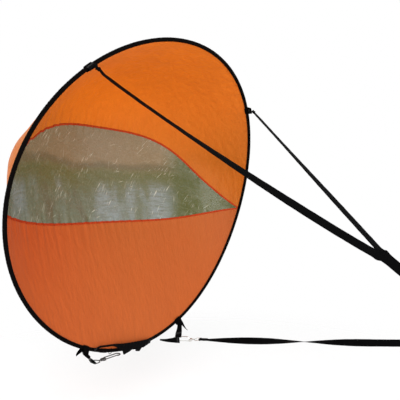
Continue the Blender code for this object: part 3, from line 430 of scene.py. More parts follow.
def effect(name: str, inputs: dict[str, float], outputs: Sequence[str]
           ) -> tuple[bpy.types.NodeTree, Wiring, bpy.types.NodeOutputs, bpy.types.Node]:
    """A new node group with its sockets.

    Args:
        name: The effect's name.
        inputs: First value of each number that it takes beside its vector.
        outputs: The values that it gives.

    Returns:
        The group, its wiring, the values given to it, and its output node.
    """
    tree = bpy.data.node_groups.new(name, "ShaderNodeTree")
    tree.interface.new_socket("Vector", in_out="INPUT", socket_type="NodeSocketVector")
    for label, value in inputs.items():
        socket = tree.interface.new_socket(label, in_out="INPUT", socket_type="NodeSocketFloat")
        socket.default_value = value
    for label in outputs:
        tree.interface.new_socket(label, in_out="OUTPUT", socket_type="NodeSocketFloat")
    wiring = Wiring(tree)
    return tree, wiring, wiring.node("NodeGroupInput").outputs, wiring.node("NodeGroupOutput")


class Effects:
    """The effects that several finishes share, each built once."""

    def __init__(self) -> None:
        """Builds every effect."""
        self.weave = self.build_weave()
        self.mottle = self.build_mottle()
        self.scuff = self.build_scuff()
        self.lines = self.build_lines()

    @staticmethod
    def build_weave() -> bpy.types.NodeTree:
        """Crossing threads: their height, and a mask that is low between them.

        Returns:
            The node group.
        """
        tree, wire, given, out = effect(
            "Weave", {"Warp Pitch": 0.001, "Weft Pitch": 0.001, "Slack": 0.15}, ("Height", "Mask"))
        wander = wire.node("ShaderNodeTexNoise", {"Vector": given["Vector"],
                                                  "Scale": 90.0, "Detail": 2.0})
        shift = wire.times(wire.math("SUBTRACT", wander.outputs[0], 0.5),
                          given["Slack"])
        parts = wire.parts(given["Vector"])
        across = wire.plus(wire.math("DIVIDE", parts[0], given["Warp Pitch"]), shift)
        along = wire.plus(wire.math("DIVIDE", parts[1], given["Weft Pitch"]), shift)
        steps = wire.plus(wire.math("FLOOR", across), wire.math("FLOOR", along))
        over = wire.math("PINGPONG", steps, 1.0)
        warp = wire.wave(wire.times(across, math.pi))
        weft = wire.wave(wire.times(along, math.pi))
        raised = wire.plus(wire.times(warp, over),
                           wire.times(weft, wire.rest(over)))
        wire.put(out.inputs["Height"], raised)
        wire.put(out.inputs["Mask"], wire.remap(raised, 0.05, 0.7))
        return tree

    @staticmethod
    def build_mottle() -> bpy.types.NodeTree:
        """Slow changes over a surface: large patches with fine grain in them.

        Returns:
            The node group.
        """
        tree, wire, given, out = effect(
            "Mottle", {"Patch Scale": 4.0, "Grain Scale": 300.0, "Grain Share": 0.3}, ("Factor",))
        patch = wire.node("ShaderNodeTexNoise", {
            "Vector": given["Vector"], "Scale": given["Patch Scale"],
            "Detail": 4.0, "Roughness": 0.55})
        grain = wire.node("ShaderNodeTexNoise", {
            "Vector": given["Vector"], "Scale": given["Grain Scale"], "Detail": 2.0})
        broad = wire.remap(patch.outputs[0], 0.3, 0.7)
        fine = wire.remap(grain.outputs[0], 0.3, 0.7)
        rest = wire.rest(given["Grain Share"])
        total = wire.plus(wire.times(broad, rest),
                          wire.times(fine, given["Grain Share"]))
        wire.put(out.inputs["Factor"], total)
        return tree

    @staticmethod
    def build_scuff() -> bpy.types.NodeTree:
        """Rubbed spots and hairline scratches.

        Returns:
            The node group.
        """
        tree, wire, given, out = effect("Scuff", {"Scale": 120.0, "Amount": 0.5}, ("Mask",))
        spots = wire.node("ShaderNodeTexNoise", {"Vector": given["Vector"],
                                                 "Scale": given["Scale"], "Detail": 6.0})
        hair = wire.node("ShaderNodeTexVoronoi", {"Vector": given["Vector"],
                                                  "Scale": given["Scale"]},
                         feature="DISTANCE_TO_EDGE")
        rubbed = wire.remap(spots.outputs[0], 0.52, 0.72)
        line = wire.remap(hair.outputs[0], 0.0, 0.03, 1.0, 0.0)
        total = wire.math("MAXIMUM", rubbed, wire.times(line, 0.6))
        wire.put(out.inputs["Mask"], wire.math("MULTIPLY", total, given["Amount"], clamp=True))
        return tree

    @staticmethod
    def build_lines() -> bpy.types.NodeTree:
        """A square grid of thin lines.

        Returns:
            The node group.
        """
        tree, wire, given, out = effect("GridLines", {"Pitch": 0.006, "Width Share": 0.08}, ("Mask",))
        parts = wire.parts(given["Vector"])
        masks = []
        for part in (parts[0], parts[1]):
            place = wire.math("DIVIDE", part, given["Pitch"])
            away = wire.math("PINGPONG", place, 0.5)
            masks.append(wire.math("LESS_THAN", away, wire.times(given["Width Share"], 0.5)))
        wire.put(out.inputs["Mask"], wire.math("MAXIMUM", *masks))
        return tree


# Finishes
Color = tuple[float, float, float]


class Coat(Wiring):
    """A material in work: its wiring, its shader and the effects at hand."""

    def __init__(self, name: str, effects: Effects) -> None:
        """Starts a material.

        Args:
            name: Its name.
            effects: The shared effects.
        """
        self.material = bpy.data.materials.new(name)
        self.material.use_nodes = True
        super().__init__(self.material.node_tree)
        self.effects = effects
        self.shader = self.tree.nodes["Principled BSDF"]

    def mottle(self, vector: object, patch: float, grain: float, share: float) -> bpy.types.NodeSocket:
        """Patches of a scale, with a share of grain of another scale."""
        return self.group(self.effects.mottle, {"Vector": vector, "Patch Scale": patch,
                                                "Grain Scale": grain, "Grain Share": share})[0]

    def weave(self, vector: object, warp: float, weft: float, slack: float) -> bpy.types.NodeOutputs:
        """Crossing threads at two pitches: their height and mask."""
        return self.group(self.effects.weave, {"Vector": vector, "Warp Pitch": warp,
                                               "Weft Pitch": weft, "Slack": slack})

    def scuff(self, vector: object, scale: float, amount: float) -> bpy.types.NodeSocket:
        """Rubbed spots and hairline scratches."""
        return self.group(self.effects.scuff, {"Vector": vector, "Scale": scale, "Amount": amount})[0]

    def dye(self, share: object, tone: object, color: object, most: float = 1.0) -> bpy.types.NodeSocket:
        """A tone that a share of a colour goes into, at most so much of it."""
        return self.mix(share if most == 1.0 else self.times(share, most), tone, color)

    def shade(self, **values: object) -> None:
        """Joins or sets inputs of the shader, named with low bars for spaces."""
        self.fill(self.shader, {key.replace("_", " "): value for key, value in values.items()})

    def bump(self, height: object, depth: float, strength: float = 1.0) -> None:
        """Gives the shader a relief of a height in metres."""
        made = self.node("ShaderNodeBump", {"Strength": strength, "Distance": depth, "Height": height})
        self.shade(Normal=made.outputs[0])


@dataclass(frozen=True)
class Finish:
    """What every finish has."""

    name: str
    color: Color
    roughness: float

    def build(self, effects: Effects) -> bpy.types.Material:
        """Makes the material.

        Args:
            effects: The shared effects.

        Returns:
            The material.
        """
        coat = Coat(self.name, effects)
        coat.shade(Base_Color=self.color, Roughness=self.roughness)
        self.paint(coat)
        LOG.info("finish %s", self.name)
        return coat.material

    def paint(self, coat: Coat) -> None:
        """Leaves the plain colour as it is."""


@dataclass(frozen=True)
class SailClothFinish(Finish):
    """Coated ripstop cloth whose colour drifts over the sail: painted light and shade toward +X and toward
    the bottom, and warm patches.
    """

    # The far and low colours are painted light and shade across the panel.
    far_painted_light_color: Color
    low_color: Color
    warm_color: Color
    turn_from: float
    turn_to: float
    low_from: float
    low_to: float
    shade_color: Color = (0.30, 0.050, 0.006)
    sheen_color: Color = (1.0, 0.45, 0.28)
    low_share: float = 0.75
    warm_share: float = 0.35
    crease_share: float = 0.14
    ripstop_share: float = 0.16
    weave_share: float = 0.12
    ripstop_pitch: float = 0.0062
    warp_pitch: float = 0.00042
    weft_pitch: float = 0.00046
    relief: float = 0.0009

    def paint(self, coat: Coat) -> None:
        """Paints light and shade across the panel, warm patches, painted shade in the creases, the ripstop
        lines, and the weave with painted shade between its threads.

        Args:
            coat: The material in work.
        """
        place, marks = coat.place(), coat.marks()
        parts = coat.parts(place)
        drift = coat.mottle(place, 3.2, 420.0, 0.25)
        creases = coat.mottle(coat.stretch(place, (9.0, 9.0, 2.2), 0.2), 1.0, 6.0, 0.35)
        ripstop = coat.group(coat.effects.lines, {"Vector": marks, "Pitch": self.ripstop_pitch,
                                                  "Width Share": 0.09})[0]
        weave = coat.weave(marks, self.warp_pitch, self.weft_pitch, 0.2)
        # Painted light across the panel: painted shade toward +X on the upper cloth, a paler painted light
        # toward +X on the lower cloth.
        tone = coat.dye(coat.remap(parts[0], self.turn_from, self.turn_to), self.color, self.far_painted_light_color)
        # Painted light down the panel: darker toward the bottom on the upper cloth, paler toward the bottom
        # on the lower cloth.
        tone = coat.dye(coat.remap(parts[2], self.low_from, self.low_to), tone, self.low_color,
                        self.low_share)
        tone = coat.dye(drift, tone, self.warm_color, self.warm_share)
        # Painted shade: a darker tone laid into the creases and between the threads of the weave; the same
        # tone marks the ripstop grid lines.
        shade = coat.mix(0.82, tone, self.shade_color)
        tone = coat.dye(creases, tone, shade, self.crease_share)
        tone = coat.dye(ripstop, tone, shade, self.ripstop_share)
        tone = coat.dye(coat.rest(weave["Mask"]), tone, shade, self.weave_share)
        coat.shade(Base_Color=tone, Specular_IOR_Level=0.14, Sheen_Weight=0.15, Sheen_Roughness=0.30,
                   Sheen_Tint=self.sheen_color,
                   Roughness=coat.remap(drift, 0.0, 1.0, self.roughness - 0.08, self.roughness + 0.08))
        raised = coat.plus(coat.times(ripstop, 0.16), coat.times(creases, 4.0))
        coat.bump(coat.plus(coat.times(weave["Height"], 0.12), raised), self.relief)


@dataclass(frozen=True)
class ScratchesAndHighlights:
    """One direction of fine pale lines, partly scratches and partly painted highlights on crinkles: its
    turn, its seed, and the noise at which they start.
    """

    turn: float
    seed: float
    start: float

    def draw(self, coat: Coat, marks: object) -> bpy.types.NodeSocket:
        """Draws the scratches and painted highlights, in clumps.

        Args:
            coat: The material in work.
            marks: Its surface coordinates.

        Returns:
            A mask that is high on the scratches and painted highlights.
        """
        moved = coat.node("ShaderNodeVectorMath", {0: marks, 1: (self.seed, self.seed, 0.0)},
                          operation="ADD").outputs[0]
        lines = coat.noise(coat.stretch(moved, (16.0, 240.0, 1.0), self.turn), 1.0, 2.0, 0.5)
        clump = coat.remap(coat.noise(moved, 11.0, 2.0), 0.50, 0.62)
        return coat.times(coat.remap(lines, self.start, self.start + 0.07), clump)


@dataclass(frozen=True)
class FilmFinish(Finish):
    """Clear flexible film whose colours are a painted view of the scenery behind the window, with creases,
    fine scratches and painted highlights on its crinkles.
    """

    # Colours of the painted view of the scenery behind the window.
    middle_color: Color
    low_color: Color
    pale_color: Color
    band_color: Color
    corner_color: Color
    alpha: float
    # Colour of the pale lines: scratches in the film and painted highlights on its crinkles.
    scratch_and_highlight_color: Color = (0.64, 0.62, 0.50)
    band_share: float = 0.45
    brown_share: float = 0.7
    pale_share: float = 0.72
    wave_depth: float = 0.006
    scratches: tuple[ScratchesAndHighlights, ...] = (ScratchesAndHighlights(1.02, 0.0, 0.615), ScratchesAndHighlights(0.82, 3.1, 0.640),
                                        ScratchesAndHighlights(0.30, 7.7, 0.665), ScratchesAndHighlights(1.45, 5.2, 0.665))

    def paint(self, coat: Coat) -> None:
        """Paints the view of the scenery behind the film, the scratches with painted highlights on its
        crinkles, and the waves of the film.

        Args:
            coat: The material in work.
        """
        place, marks = coat.place(), coat.marks()
        parts = coat.parts(place)
        wobble = coat.math("SUBTRACT", coat.noise(place, 6.0, 5.0, 0.6), 0.5)
        height = coat.plus(parts[2], coat.times(wobble, 0.07))
        # Painted view of the scenery behind the film: brown at the top, darker lower down, with a brown band
        # and brown columns.
        tone = coat.dye(coat.remap(height, 0.705, 0.640), self.color, self.middle_color)
        tone = coat.dye(coat.remap(height, 0.640, 0.540), tone, self.low_color)
        band = coat.times(coat.remap(height, 0.655, 0.675), coat.remap(height, 0.700, 0.680))
        tone = coat.dye(band, tone, self.band_color, self.band_share)
        columns = coat.noise(coat.stretch(marks, (5.6, 2.2, 1.0), 0.05), 1.0, 4.0, 0.60)
        brown = coat.times(coat.remap(columns, 0.46, 0.36), coat.remap(height, 0.66, 0.58))
        tone = coat.dye(brown, tone, self.band_color, self.brown_share)
        ripples = coat.noise(coat.stretch(marks, (18.0, 150.0, 1.0), 0.04), 1.0, 3.0, 0.6)
        # Painted view: pale blue-grey streaks low in the window.
        pale = coat.times(coat.remap(columns, 0.46, 0.62), coat.remap(height, 0.650, 0.560))
        pale = coat.times(pale, coat.remap(ripples, 0.30, 0.62, 0.35, 1.0))
        tone = coat.dye(pale, tone, self.pale_color, self.pale_share)
        # Painted view: darker toward the +X end, with a fine speckle of the pale and brown colours.
        tone = coat.dye(coat.remap(parts[0], 0.26, 0.38), tone, self.corner_color)
        grain = coat.noise(marks, 170.0, 4.0, 0.7)
        tone = coat.dye(coat.remap(grain, 0.50, 0.72, 0.0, 0.24), tone, self.pale_color)
        tone = coat.dye(coat.remap(grain, 0.50, 0.32, 0.0, 0.40), tone, self.band_color)
        # Pale lines: partly scratches in the film, partly painted highlights on its crinkles.
        hair = self.scratches[0].draw(coat, marks)
        for more in self.scratches[1:]:
            hair = coat.math("MAXIMUM", hair, more.draw(coat, marks))
        scuffs = coat.scuff(marks, 26.0, 0.5)
        marked = coat.math("MAXIMUM", coat.times(hair, 0.5), coat.times(scuffs, 0.06))
        tone = coat.mix(coat.math("MULTIPLY", marked, 0.95, clamp=True), tone, self.scratch_and_highlight_color)
        coat.shade(Base_Color=tone, Specular_IOR_Level=0.22, Coat_Weight=0.10, Coat_Roughness=0.10,
                   Roughness=coat.remap(scuffs, 0.0, 0.5, self.roughness, self.roughness + 0.25),
                   Alpha=coat.remap(marked, 0.0, 0.5, self.alpha, min(1.0, self.alpha + 0.1)))
        waves = coat.noise(coat.stretch(marks, (14.0, 30.0, 1.0)), 1.0, 4.0, 0.55)
        coat.bump(waves, self.wave_depth, 0.7)


@dataclass(frozen=True)
class BandFinish(Finish):
    """Woven band, tape or elastic, with threads along and across it."""

    dust_color: Color
    warp_pitch: float
    weft_pitch: float
    depth: float
    dust_share: float = 0.2
    gloss: float = 0.020
    shade_share: float = 0.45

    def paint(self, coat: Coat) -> None:
        """Paints the threads, with painted shade between them, and the dust on them.

        Args:
            coat: The material in work.
        """
        weave = coat.weave(coat.marks(), self.warp_pitch, self.weft_pitch, 0.35)
        # Painted shade between the threads: the weave's gaps take a darker copy of the colour.
        dark = tuple(part * self.shade_share for part in self.color)
        tone = coat.mix(weave["Mask"], dark, self.color)
        tone = coat.dye(coat.mottle(coat.place(), 14.0, 900.0, 0.45), tone, self.dust_color,
                        self.dust_share)
        coat.shade(Base_Color=tone, Specular_IOR_Level=self.gloss,
                   Roughness=coat.remap(weave["Mask"], 0.0, 1.0, self.roughness + 0.12,
                                        self.roughness - 0.05))
        coat.bump(weave["Height"], self.depth)


@dataclass(frozen=True)
class MetalFinish(Finish):
    """Plated or bare steel, rubbed dull in places."""

    dull_color: Color
    worn: float
    relief: float = 0.00006

    def paint(self, coat: Coat) -> None:
        """Paints the bare metal and its dull spots.

        Args:
            coat: The material in work.
        """
        place = coat.place()
        patches = coat.mottle(place, 60.0, 1400.0, 0.4)
        share = coat.math("MAXIMUM", coat.scuff(place, 210.0, self.worn),
                          coat.times(patches, self.worn * 0.6))
        coat.shade(Base_Color=coat.mix(share, self.color, self.dull_color), Metallic=1.0,
                   Roughness=coat.remap(share, 0.0, 1.0, self.roughness, self.roughness + 0.3))
        coat.bump(patches, self.relief, 0.5)


@dataclass(frozen=True)
class ThreadFinish(Finish):
    """Twisted sewing thread."""

    shade_color: Color
    relief: float = 0.0001

    def paint(self, coat: Coat) -> None:
        """Paints the twisted plies.

        Args:
            coat: The material in work.
        """
        marks = coat.marks()
        parts = coat.parts(marks)
        ply = coat.wave(coat.plus(coat.times(parts[0], 5200.0), coat.times(parts[1], 900.0)))
        grain = coat.mottle(marks, 300.0, 4000.0, 0.5)
        share = coat.times(ply, coat.plus(0.6, coat.times(grain, 0.4)))
        coat.shade(Base_Color=coat.mix(share, self.shade_color, self.color))
        coat.bump(ply, self.relief)


@dataclass(frozen=True)
class FloorFinish(Finish):
    """Pale floor that fades out round a centre."""

    centre: tuple[float, float, float]
    fade_from: float = 0.9
    fade_to: float = 2.3

    def paint(self, coat: Coat) -> None:
        """Fades the floor out.

        Args:
            coat: The material in work.
        """
        away = coat.node("ShaderNodeVectorMath", {0: coat.place(), 1: self.centre},
                         operation="DISTANCE").outputs["Value"]
        coat.shade(Specular_IOR_Level=0.0, Alpha=coat.remap(away, self.fade_from, self.fade_to, 1.0, 0.0))


THREAD_SLOT = 1
WEBBING_FINISHES = ("strap_webbing", "black_thread")
ELASTIC_FINISHES = ("shock_elastic", "black_thread")


@dataclass
class Wardrobe:
    """Every finish of the sail, built once."""

    effects: Effects = field(default_factory=Effects)
    made: dict[str, bpy.types.Material] = field(default_factory=dict)

    def stock(self) -> None:
        """Builds the finishes."""
        finishes = (
            # The two panels are one orange cloth: a painted-light copy for the upper panel and a darker
            # painted-shade copy for the lower.
            SailClothFinish("upper_sailcloth_painted_light", (0.800, 0.184, 0.0055), 0.60, (0.560, 0.134, 0.0105),
                            (0.330, 0.093, 0.0066), (0.640, 0.158, 0.0100), -0.15, 0.52, 0.97, 0.70),
            SailClothFinish("lower_sailcloth_painted_shade", (0.385, 0.043, 0.0035), 0.62, (0.350, 0.086, 0.0160),
                            (0.380, 0.078, 0.0130), (0.430, 0.092, 0.0180), -0.50, 0.10, 0.62, 0.10),
            FilmFinish("window_vinyl", (0.205, 0.150, 0.080), 0.24, (0.104, 0.103, 0.036),
                       (0.112, 0.122, 0.074), (0.215, 0.250, 0.255), (0.092, 0.070, 0.036),
                       (0.070, 0.078, 0.018), 0.96),
            BandFinish("seam_tape", (0.400, 0.036, 0.008), 0.66, (0.50, 0.08, 0.02), 0.0011, 0.0009,
                       0.0003, 0.25),
            BandFinish("rim_fabric", (0.0018, 0.0013, 0.0012), 0.80, (0.010, 0.007, 0.006), 0.0010, 0.0010,
                       0.00025, 0.14),
            BandFinish("strap_webbing", (0.0012, 0.0012, 0.0013), 0.74, (0.007, 0.007, 0.0074), 0.0016,
                       0.0011, 0.00032, 0.14),
            BandFinish("shock_elastic", (0.0020, 0.0020, 0.0022), 0.82, (0.012, 0.011, 0.012), 0.0008,
                       0.0014, 0.0004, 0.22),
            MetalFinish("bright_plating", (0.64, 0.63, 0.60), 0.20, (0.36, 0.35, 0.33), 0.5),
            # Painted shade: a darkened copy of the nickel plating, which the left hook takes.
            MetalFinish("painted_shade_plating", (0.105, 0.102, 0.098), 0.34, (0.045, 0.042, 0.040), 0.6),
            MetalFinish("spring_band", (0.33, 0.34, 0.36), 0.34, (0.18, 0.16, 0.14), 0.6),
            ThreadFinish("black_thread", (0.014, 0.014, 0.015), 0.6, (0.004, 0.004, 0.0045)),
            ThreadFinish("red_thread", (0.42, 0.046, 0.012), 0.6, (0.16, 0.016, 0.006)),
        )
        for finish in finishes:
            self.made[finish.name] = finish.build(self.effects)

    def make(self, draft: Draft, name: str, node: Optional[str], slot: str, body: str,
             finishes: Sequence[str], crease: float = 50.0) -> bpy.types.Object:
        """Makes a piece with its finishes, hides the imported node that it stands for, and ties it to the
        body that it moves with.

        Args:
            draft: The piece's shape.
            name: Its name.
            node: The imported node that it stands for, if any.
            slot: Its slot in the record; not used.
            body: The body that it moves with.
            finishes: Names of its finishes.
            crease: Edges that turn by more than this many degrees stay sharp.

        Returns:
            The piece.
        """
        piece = draft.build(name, [self.made[finish] for finish in finishes], crease)
        if node:
            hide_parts(node)
        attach(piece, body)
        return piece


# Shape of the sail
@dataclass(frozen=True)
class SailForm:
    """The hoop's saddle, the belly and the seams, all in metres."""

    hoop_radius: float = 0.540
    saddle_depth: float = 0.0277
    lean: float = math.radians(16.55)
    belly_depth: float = 0.344
    lift_share: float = 0.8
    brow_rise: float = 0.22
    brow_span: float = 0.35
    brow_ease: float = 0.60
    cheek_rise: float = 0.175
    cheek_spread: float = 0.13
    cheek_swell: float = 0.82
    edge_power: int = 8
    window_drop: float = 0.036
    window_rise: float = 0.227
    window_fall: float = 0.117
    rise_shares: tuple[float, float] = (1.084, -1.249)
    left_fill: float = 0.70
    fall_share: float = 0.711
    cloth: float = 0.0008
    cavity: float = 0.00467
    sleeve: float = 0.00617
    seam_gap: float = 0.0005

    @property
    def corner_reach(self) -> float:
        """Half the length of the seams' chord."""
        return math.sqrt(self.hoop_radius ** 2 - self.window_drop ** 2)

    def skin_point(self, x: float, z: float) -> Vector:
        """Point of the skin over a place in the hoop's plane, in the hoop's frame.

        Args:
            x: Place across the hoop's plane.
            z: Place up the hoop's plane.

        Returns:
            The point.
        """
        radius = self.hoop_radius
        crown_radius = (radius ** 2 + self.belly_depth ** 2) / (2 * self.belly_depth)
        saddle = -self.saddle_depth * (z * z - x * x) / radius ** 2
        crown = math.sqrt(crown_radius ** 2 - x * x - z * z) - (crown_radius - self.belly_depth)
        rise = z / radius
        cheek = self.cheek_swell * math.exp(-((rise - self.cheek_rise) / self.cheek_spread) ** 2)
        brow = self.brow_ease * smooth((rise - self.brow_rise) / self.brow_span)
        edge = (math.hypot(x, z) / radius) ** self.edge_power
        return Vector((x, saddle + crown * (1 + self.lift_share * rise + edge * (cheek - brow)), z))

    def skin_normal(self, x: float, z: float) -> Vector:
        """Normal of the skin on its belly side, in the hoop's frame.

        Args:
            x: Place across the hoop's plane.
            z: Place up the hoop's plane.

        Returns:
            The normal.
        """
        step = 0.0003
        along_x = self.skin_point(x + step, z) - self.skin_point(x - step, z)
        along_z = self.skin_point(x, z + step) - self.skin_point(x, z - step)
        return unit(along_z.cross(along_x))

    def rim_point(self, angle: float) -> Vector:
        """Point of the hoop's centre line, counted from the top toward +X."""
        return self.skin_point(self.hoop_radius * math.sin(angle), self.hoop_radius * math.cos(angle))

    def inside_rim(self, angle: float, reach: float) -> tuple[float, float]:
        """Place whose skin point is a given reach from the rim line.

        Args:
            angle: Where on the rim.
            reach: How far the point lies from it.

        Returns:
            The place, across and up the hoop's plane.
        """
        rim = self.rim_point(angle)
        low, high = 0.0, reach
        for _ in range(24):
            inset = (low + high) / 2
            radius = self.hoop_radius - inset
            spot = self.skin_point(radius * math.sin(angle), radius * math.cos(angle))
            if (spot - rim).length > reach:
                high = inset
            else:
                low = inset
        radius = self.hoop_radius - low
        return radius * math.sin(angle), radius * math.cos(angle)

    def upper_seam(self, share: float, shift: float = 0.0) -> tuple[float, float]:
        """Place of the upper seam at a share of its half length.

        Args:
            share: Share of the half length, below zero on the left.
            shift: How far up the place is moved.

        Returns:
            The place, across and up the hoop's plane.
        """
        square = share * share
        swell = 1 + self.rise_shares[0] * square + self.rise_shares[1] * square * square
        fill = self.left_fill * square ** 3 * (1 - square) ** 2 if share < 0 else 0.0
        return (self.corner_reach * share,
                -self.window_drop + self.window_rise * (1 - square) * swell + fill + shift)

    def lower_seam(self, share: float, shift: float = 0.0) -> tuple[float, float]:
        """Place of the lower seam at a share of its half length.

        Args:
            share: Share of the half length, below zero on the left.
            shift: How far up the place is moved.

        Returns:
            The place, across and up the hoop's plane.
        """
        square = share * share
        return (self.corner_reach * share,
                -self.window_drop - self.window_fall * (1 - square) * (1 + self.fall_share * square) + shift)

    def seam_end(self, seam: Callable[[float, float], tuple[float, float]], shift: float) -> float:
        """Share of a seam's half length at which it meets the sleeve's cavity.

        Args:
            seam: The line of the seam.
            shift: How far up the seam is moved.

        Returns:
            The share.
        """
        low, high = 0.9, 1.0
        for _ in range(30):
            middle = (low + high) / 2
            x, z = seam(middle, shift)
            edge_x, edge_z = self.inside_rim(math.atan2(x, z), self.cavity)
            if math.hypot(x, z) > math.hypot(edge_x, edge_z):
                high = middle
            else:
                low = middle
        return (low + high) / 2

    @property
    def turn(self) -> Matrix:
        """The lean of the hoop."""
        return Matrix.Rotation(self.lean, 3, "X")

    def foot(self) -> Vector:
        """The lowest point of the rim, leaned but not yet moved.

        Returns:
            The point.
        """
        step = math.pi - math.radians(2.45)
        low = (self.rim_point(step) + self.rim_point(-step)) / 2
        return self.turn @ low - UP * self.sleeve


class Sail:
    """Places points of the sail's own frame in the part's frame."""

    def __init__(self, form: SailForm) -> None:
        """Takes the form and finds where its foot is.

        Args:
            form: The shape of the sail.
        """
        self.form = form
        self.turn = form.turn
        self.origin = self.find_origin()

    def find_origin(self) -> Vector:
        """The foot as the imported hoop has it.

        Returns:
            The foot, leaned but not yet moved.
        """
        low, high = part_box("rim_binding")
        points = [self.turn @ self.form.rim_point(TURN * step / 720) for step in range(720)]
        depths = [point.y for point in points]
        foot = self.form.foot()
        foot.y = (max(depths) + min(depths)) / 2 - (low.y + high.y) / 2
        foot.z = max(point.z for point in points) + self.form.sleeve - high.z
        return foot

    def place(self, point: Vector) -> Vector:
        """A point of the hoop's frame in the part's frame."""
        return self.turn @ point - self.origin

    def skin(self, x: float, z: float, offset: float = 0.0) -> Vector:
        """Point off the skin in the part's frame."""
        return self.place(self.form.skin_point(x, z) + self.form.skin_normal(x, z) * offset)

    def rim_frame(self, angle: float) -> tuple[Vector, Vector, Vector, Vector, Vector]:
        """Centre, way round, inward, back and skin directions on the rim at an angle.

        Args:
            angle: Where on the rim, from the top toward +X.

        Returns:
            The centre and the four directions.
        """
        step = 0.002
        here = self.form.rim_point(angle)
        way = unit(self.form.rim_point(angle + step) - self.form.rim_point(angle - step))
        inward = square_to(Vector((-here.x, 0.0, -here.z)), way)
        skin = square_to(self.form.skin_point(*self.form.inside_rim(angle, 0.020)) - here, way)
        back = way.cross(inward)
        return (self.place(here), self.turn @ way, self.turn @ inward, self.turn @ back,
                self.turn @ skin)


class Puckers:
    """How the sewing gathers the cloth beside the two seams."""

    def __init__(self, depth: float = 0.0030, reach: float = 0.075) -> None:
        """Takes the depth of the gathers and how far they run."""
        self.depth = depth
        self.reach = reach

    def at_seam(self, share: float, seed: float) -> float:
        """Depth of the gathers right at a seam.

        Args:
            share: Where along the seam.
            seed: The seed of the seam's gathers.

        Returns:
            The depth in metres.
        """
        fade = smooth((1 - abs(share)) / 0.12)
        strong = 0.55 + 0.45 * smooth((0.45 - share) / 0.6)
        return self.depth * fade * strong * ripple(share * 13.0, seed)

    def fall_off(self, share: float, seed: float, away: float, slack: float = 1.0) -> float:
        """Share of the gathers that is left some way from a seam."""
        reach = self.reach * slack * (0.7 + 0.6 * abs(ripple(share * 5.0, seed + 3.0)))
        return math.exp(-away / reach)

    def beside(self, share: float, seed: float, away: float, slack: float = 1.0) -> float:
        """Depth of the gathers some way from a seam."""
        return self.at_seam(share, seed) * self.fall_off(share, seed, away, slack)


class Seam(Enum):
    """The two seams, each with the seed of its gathers."""

    UPPER = 11.0
    LOWER = 12.0


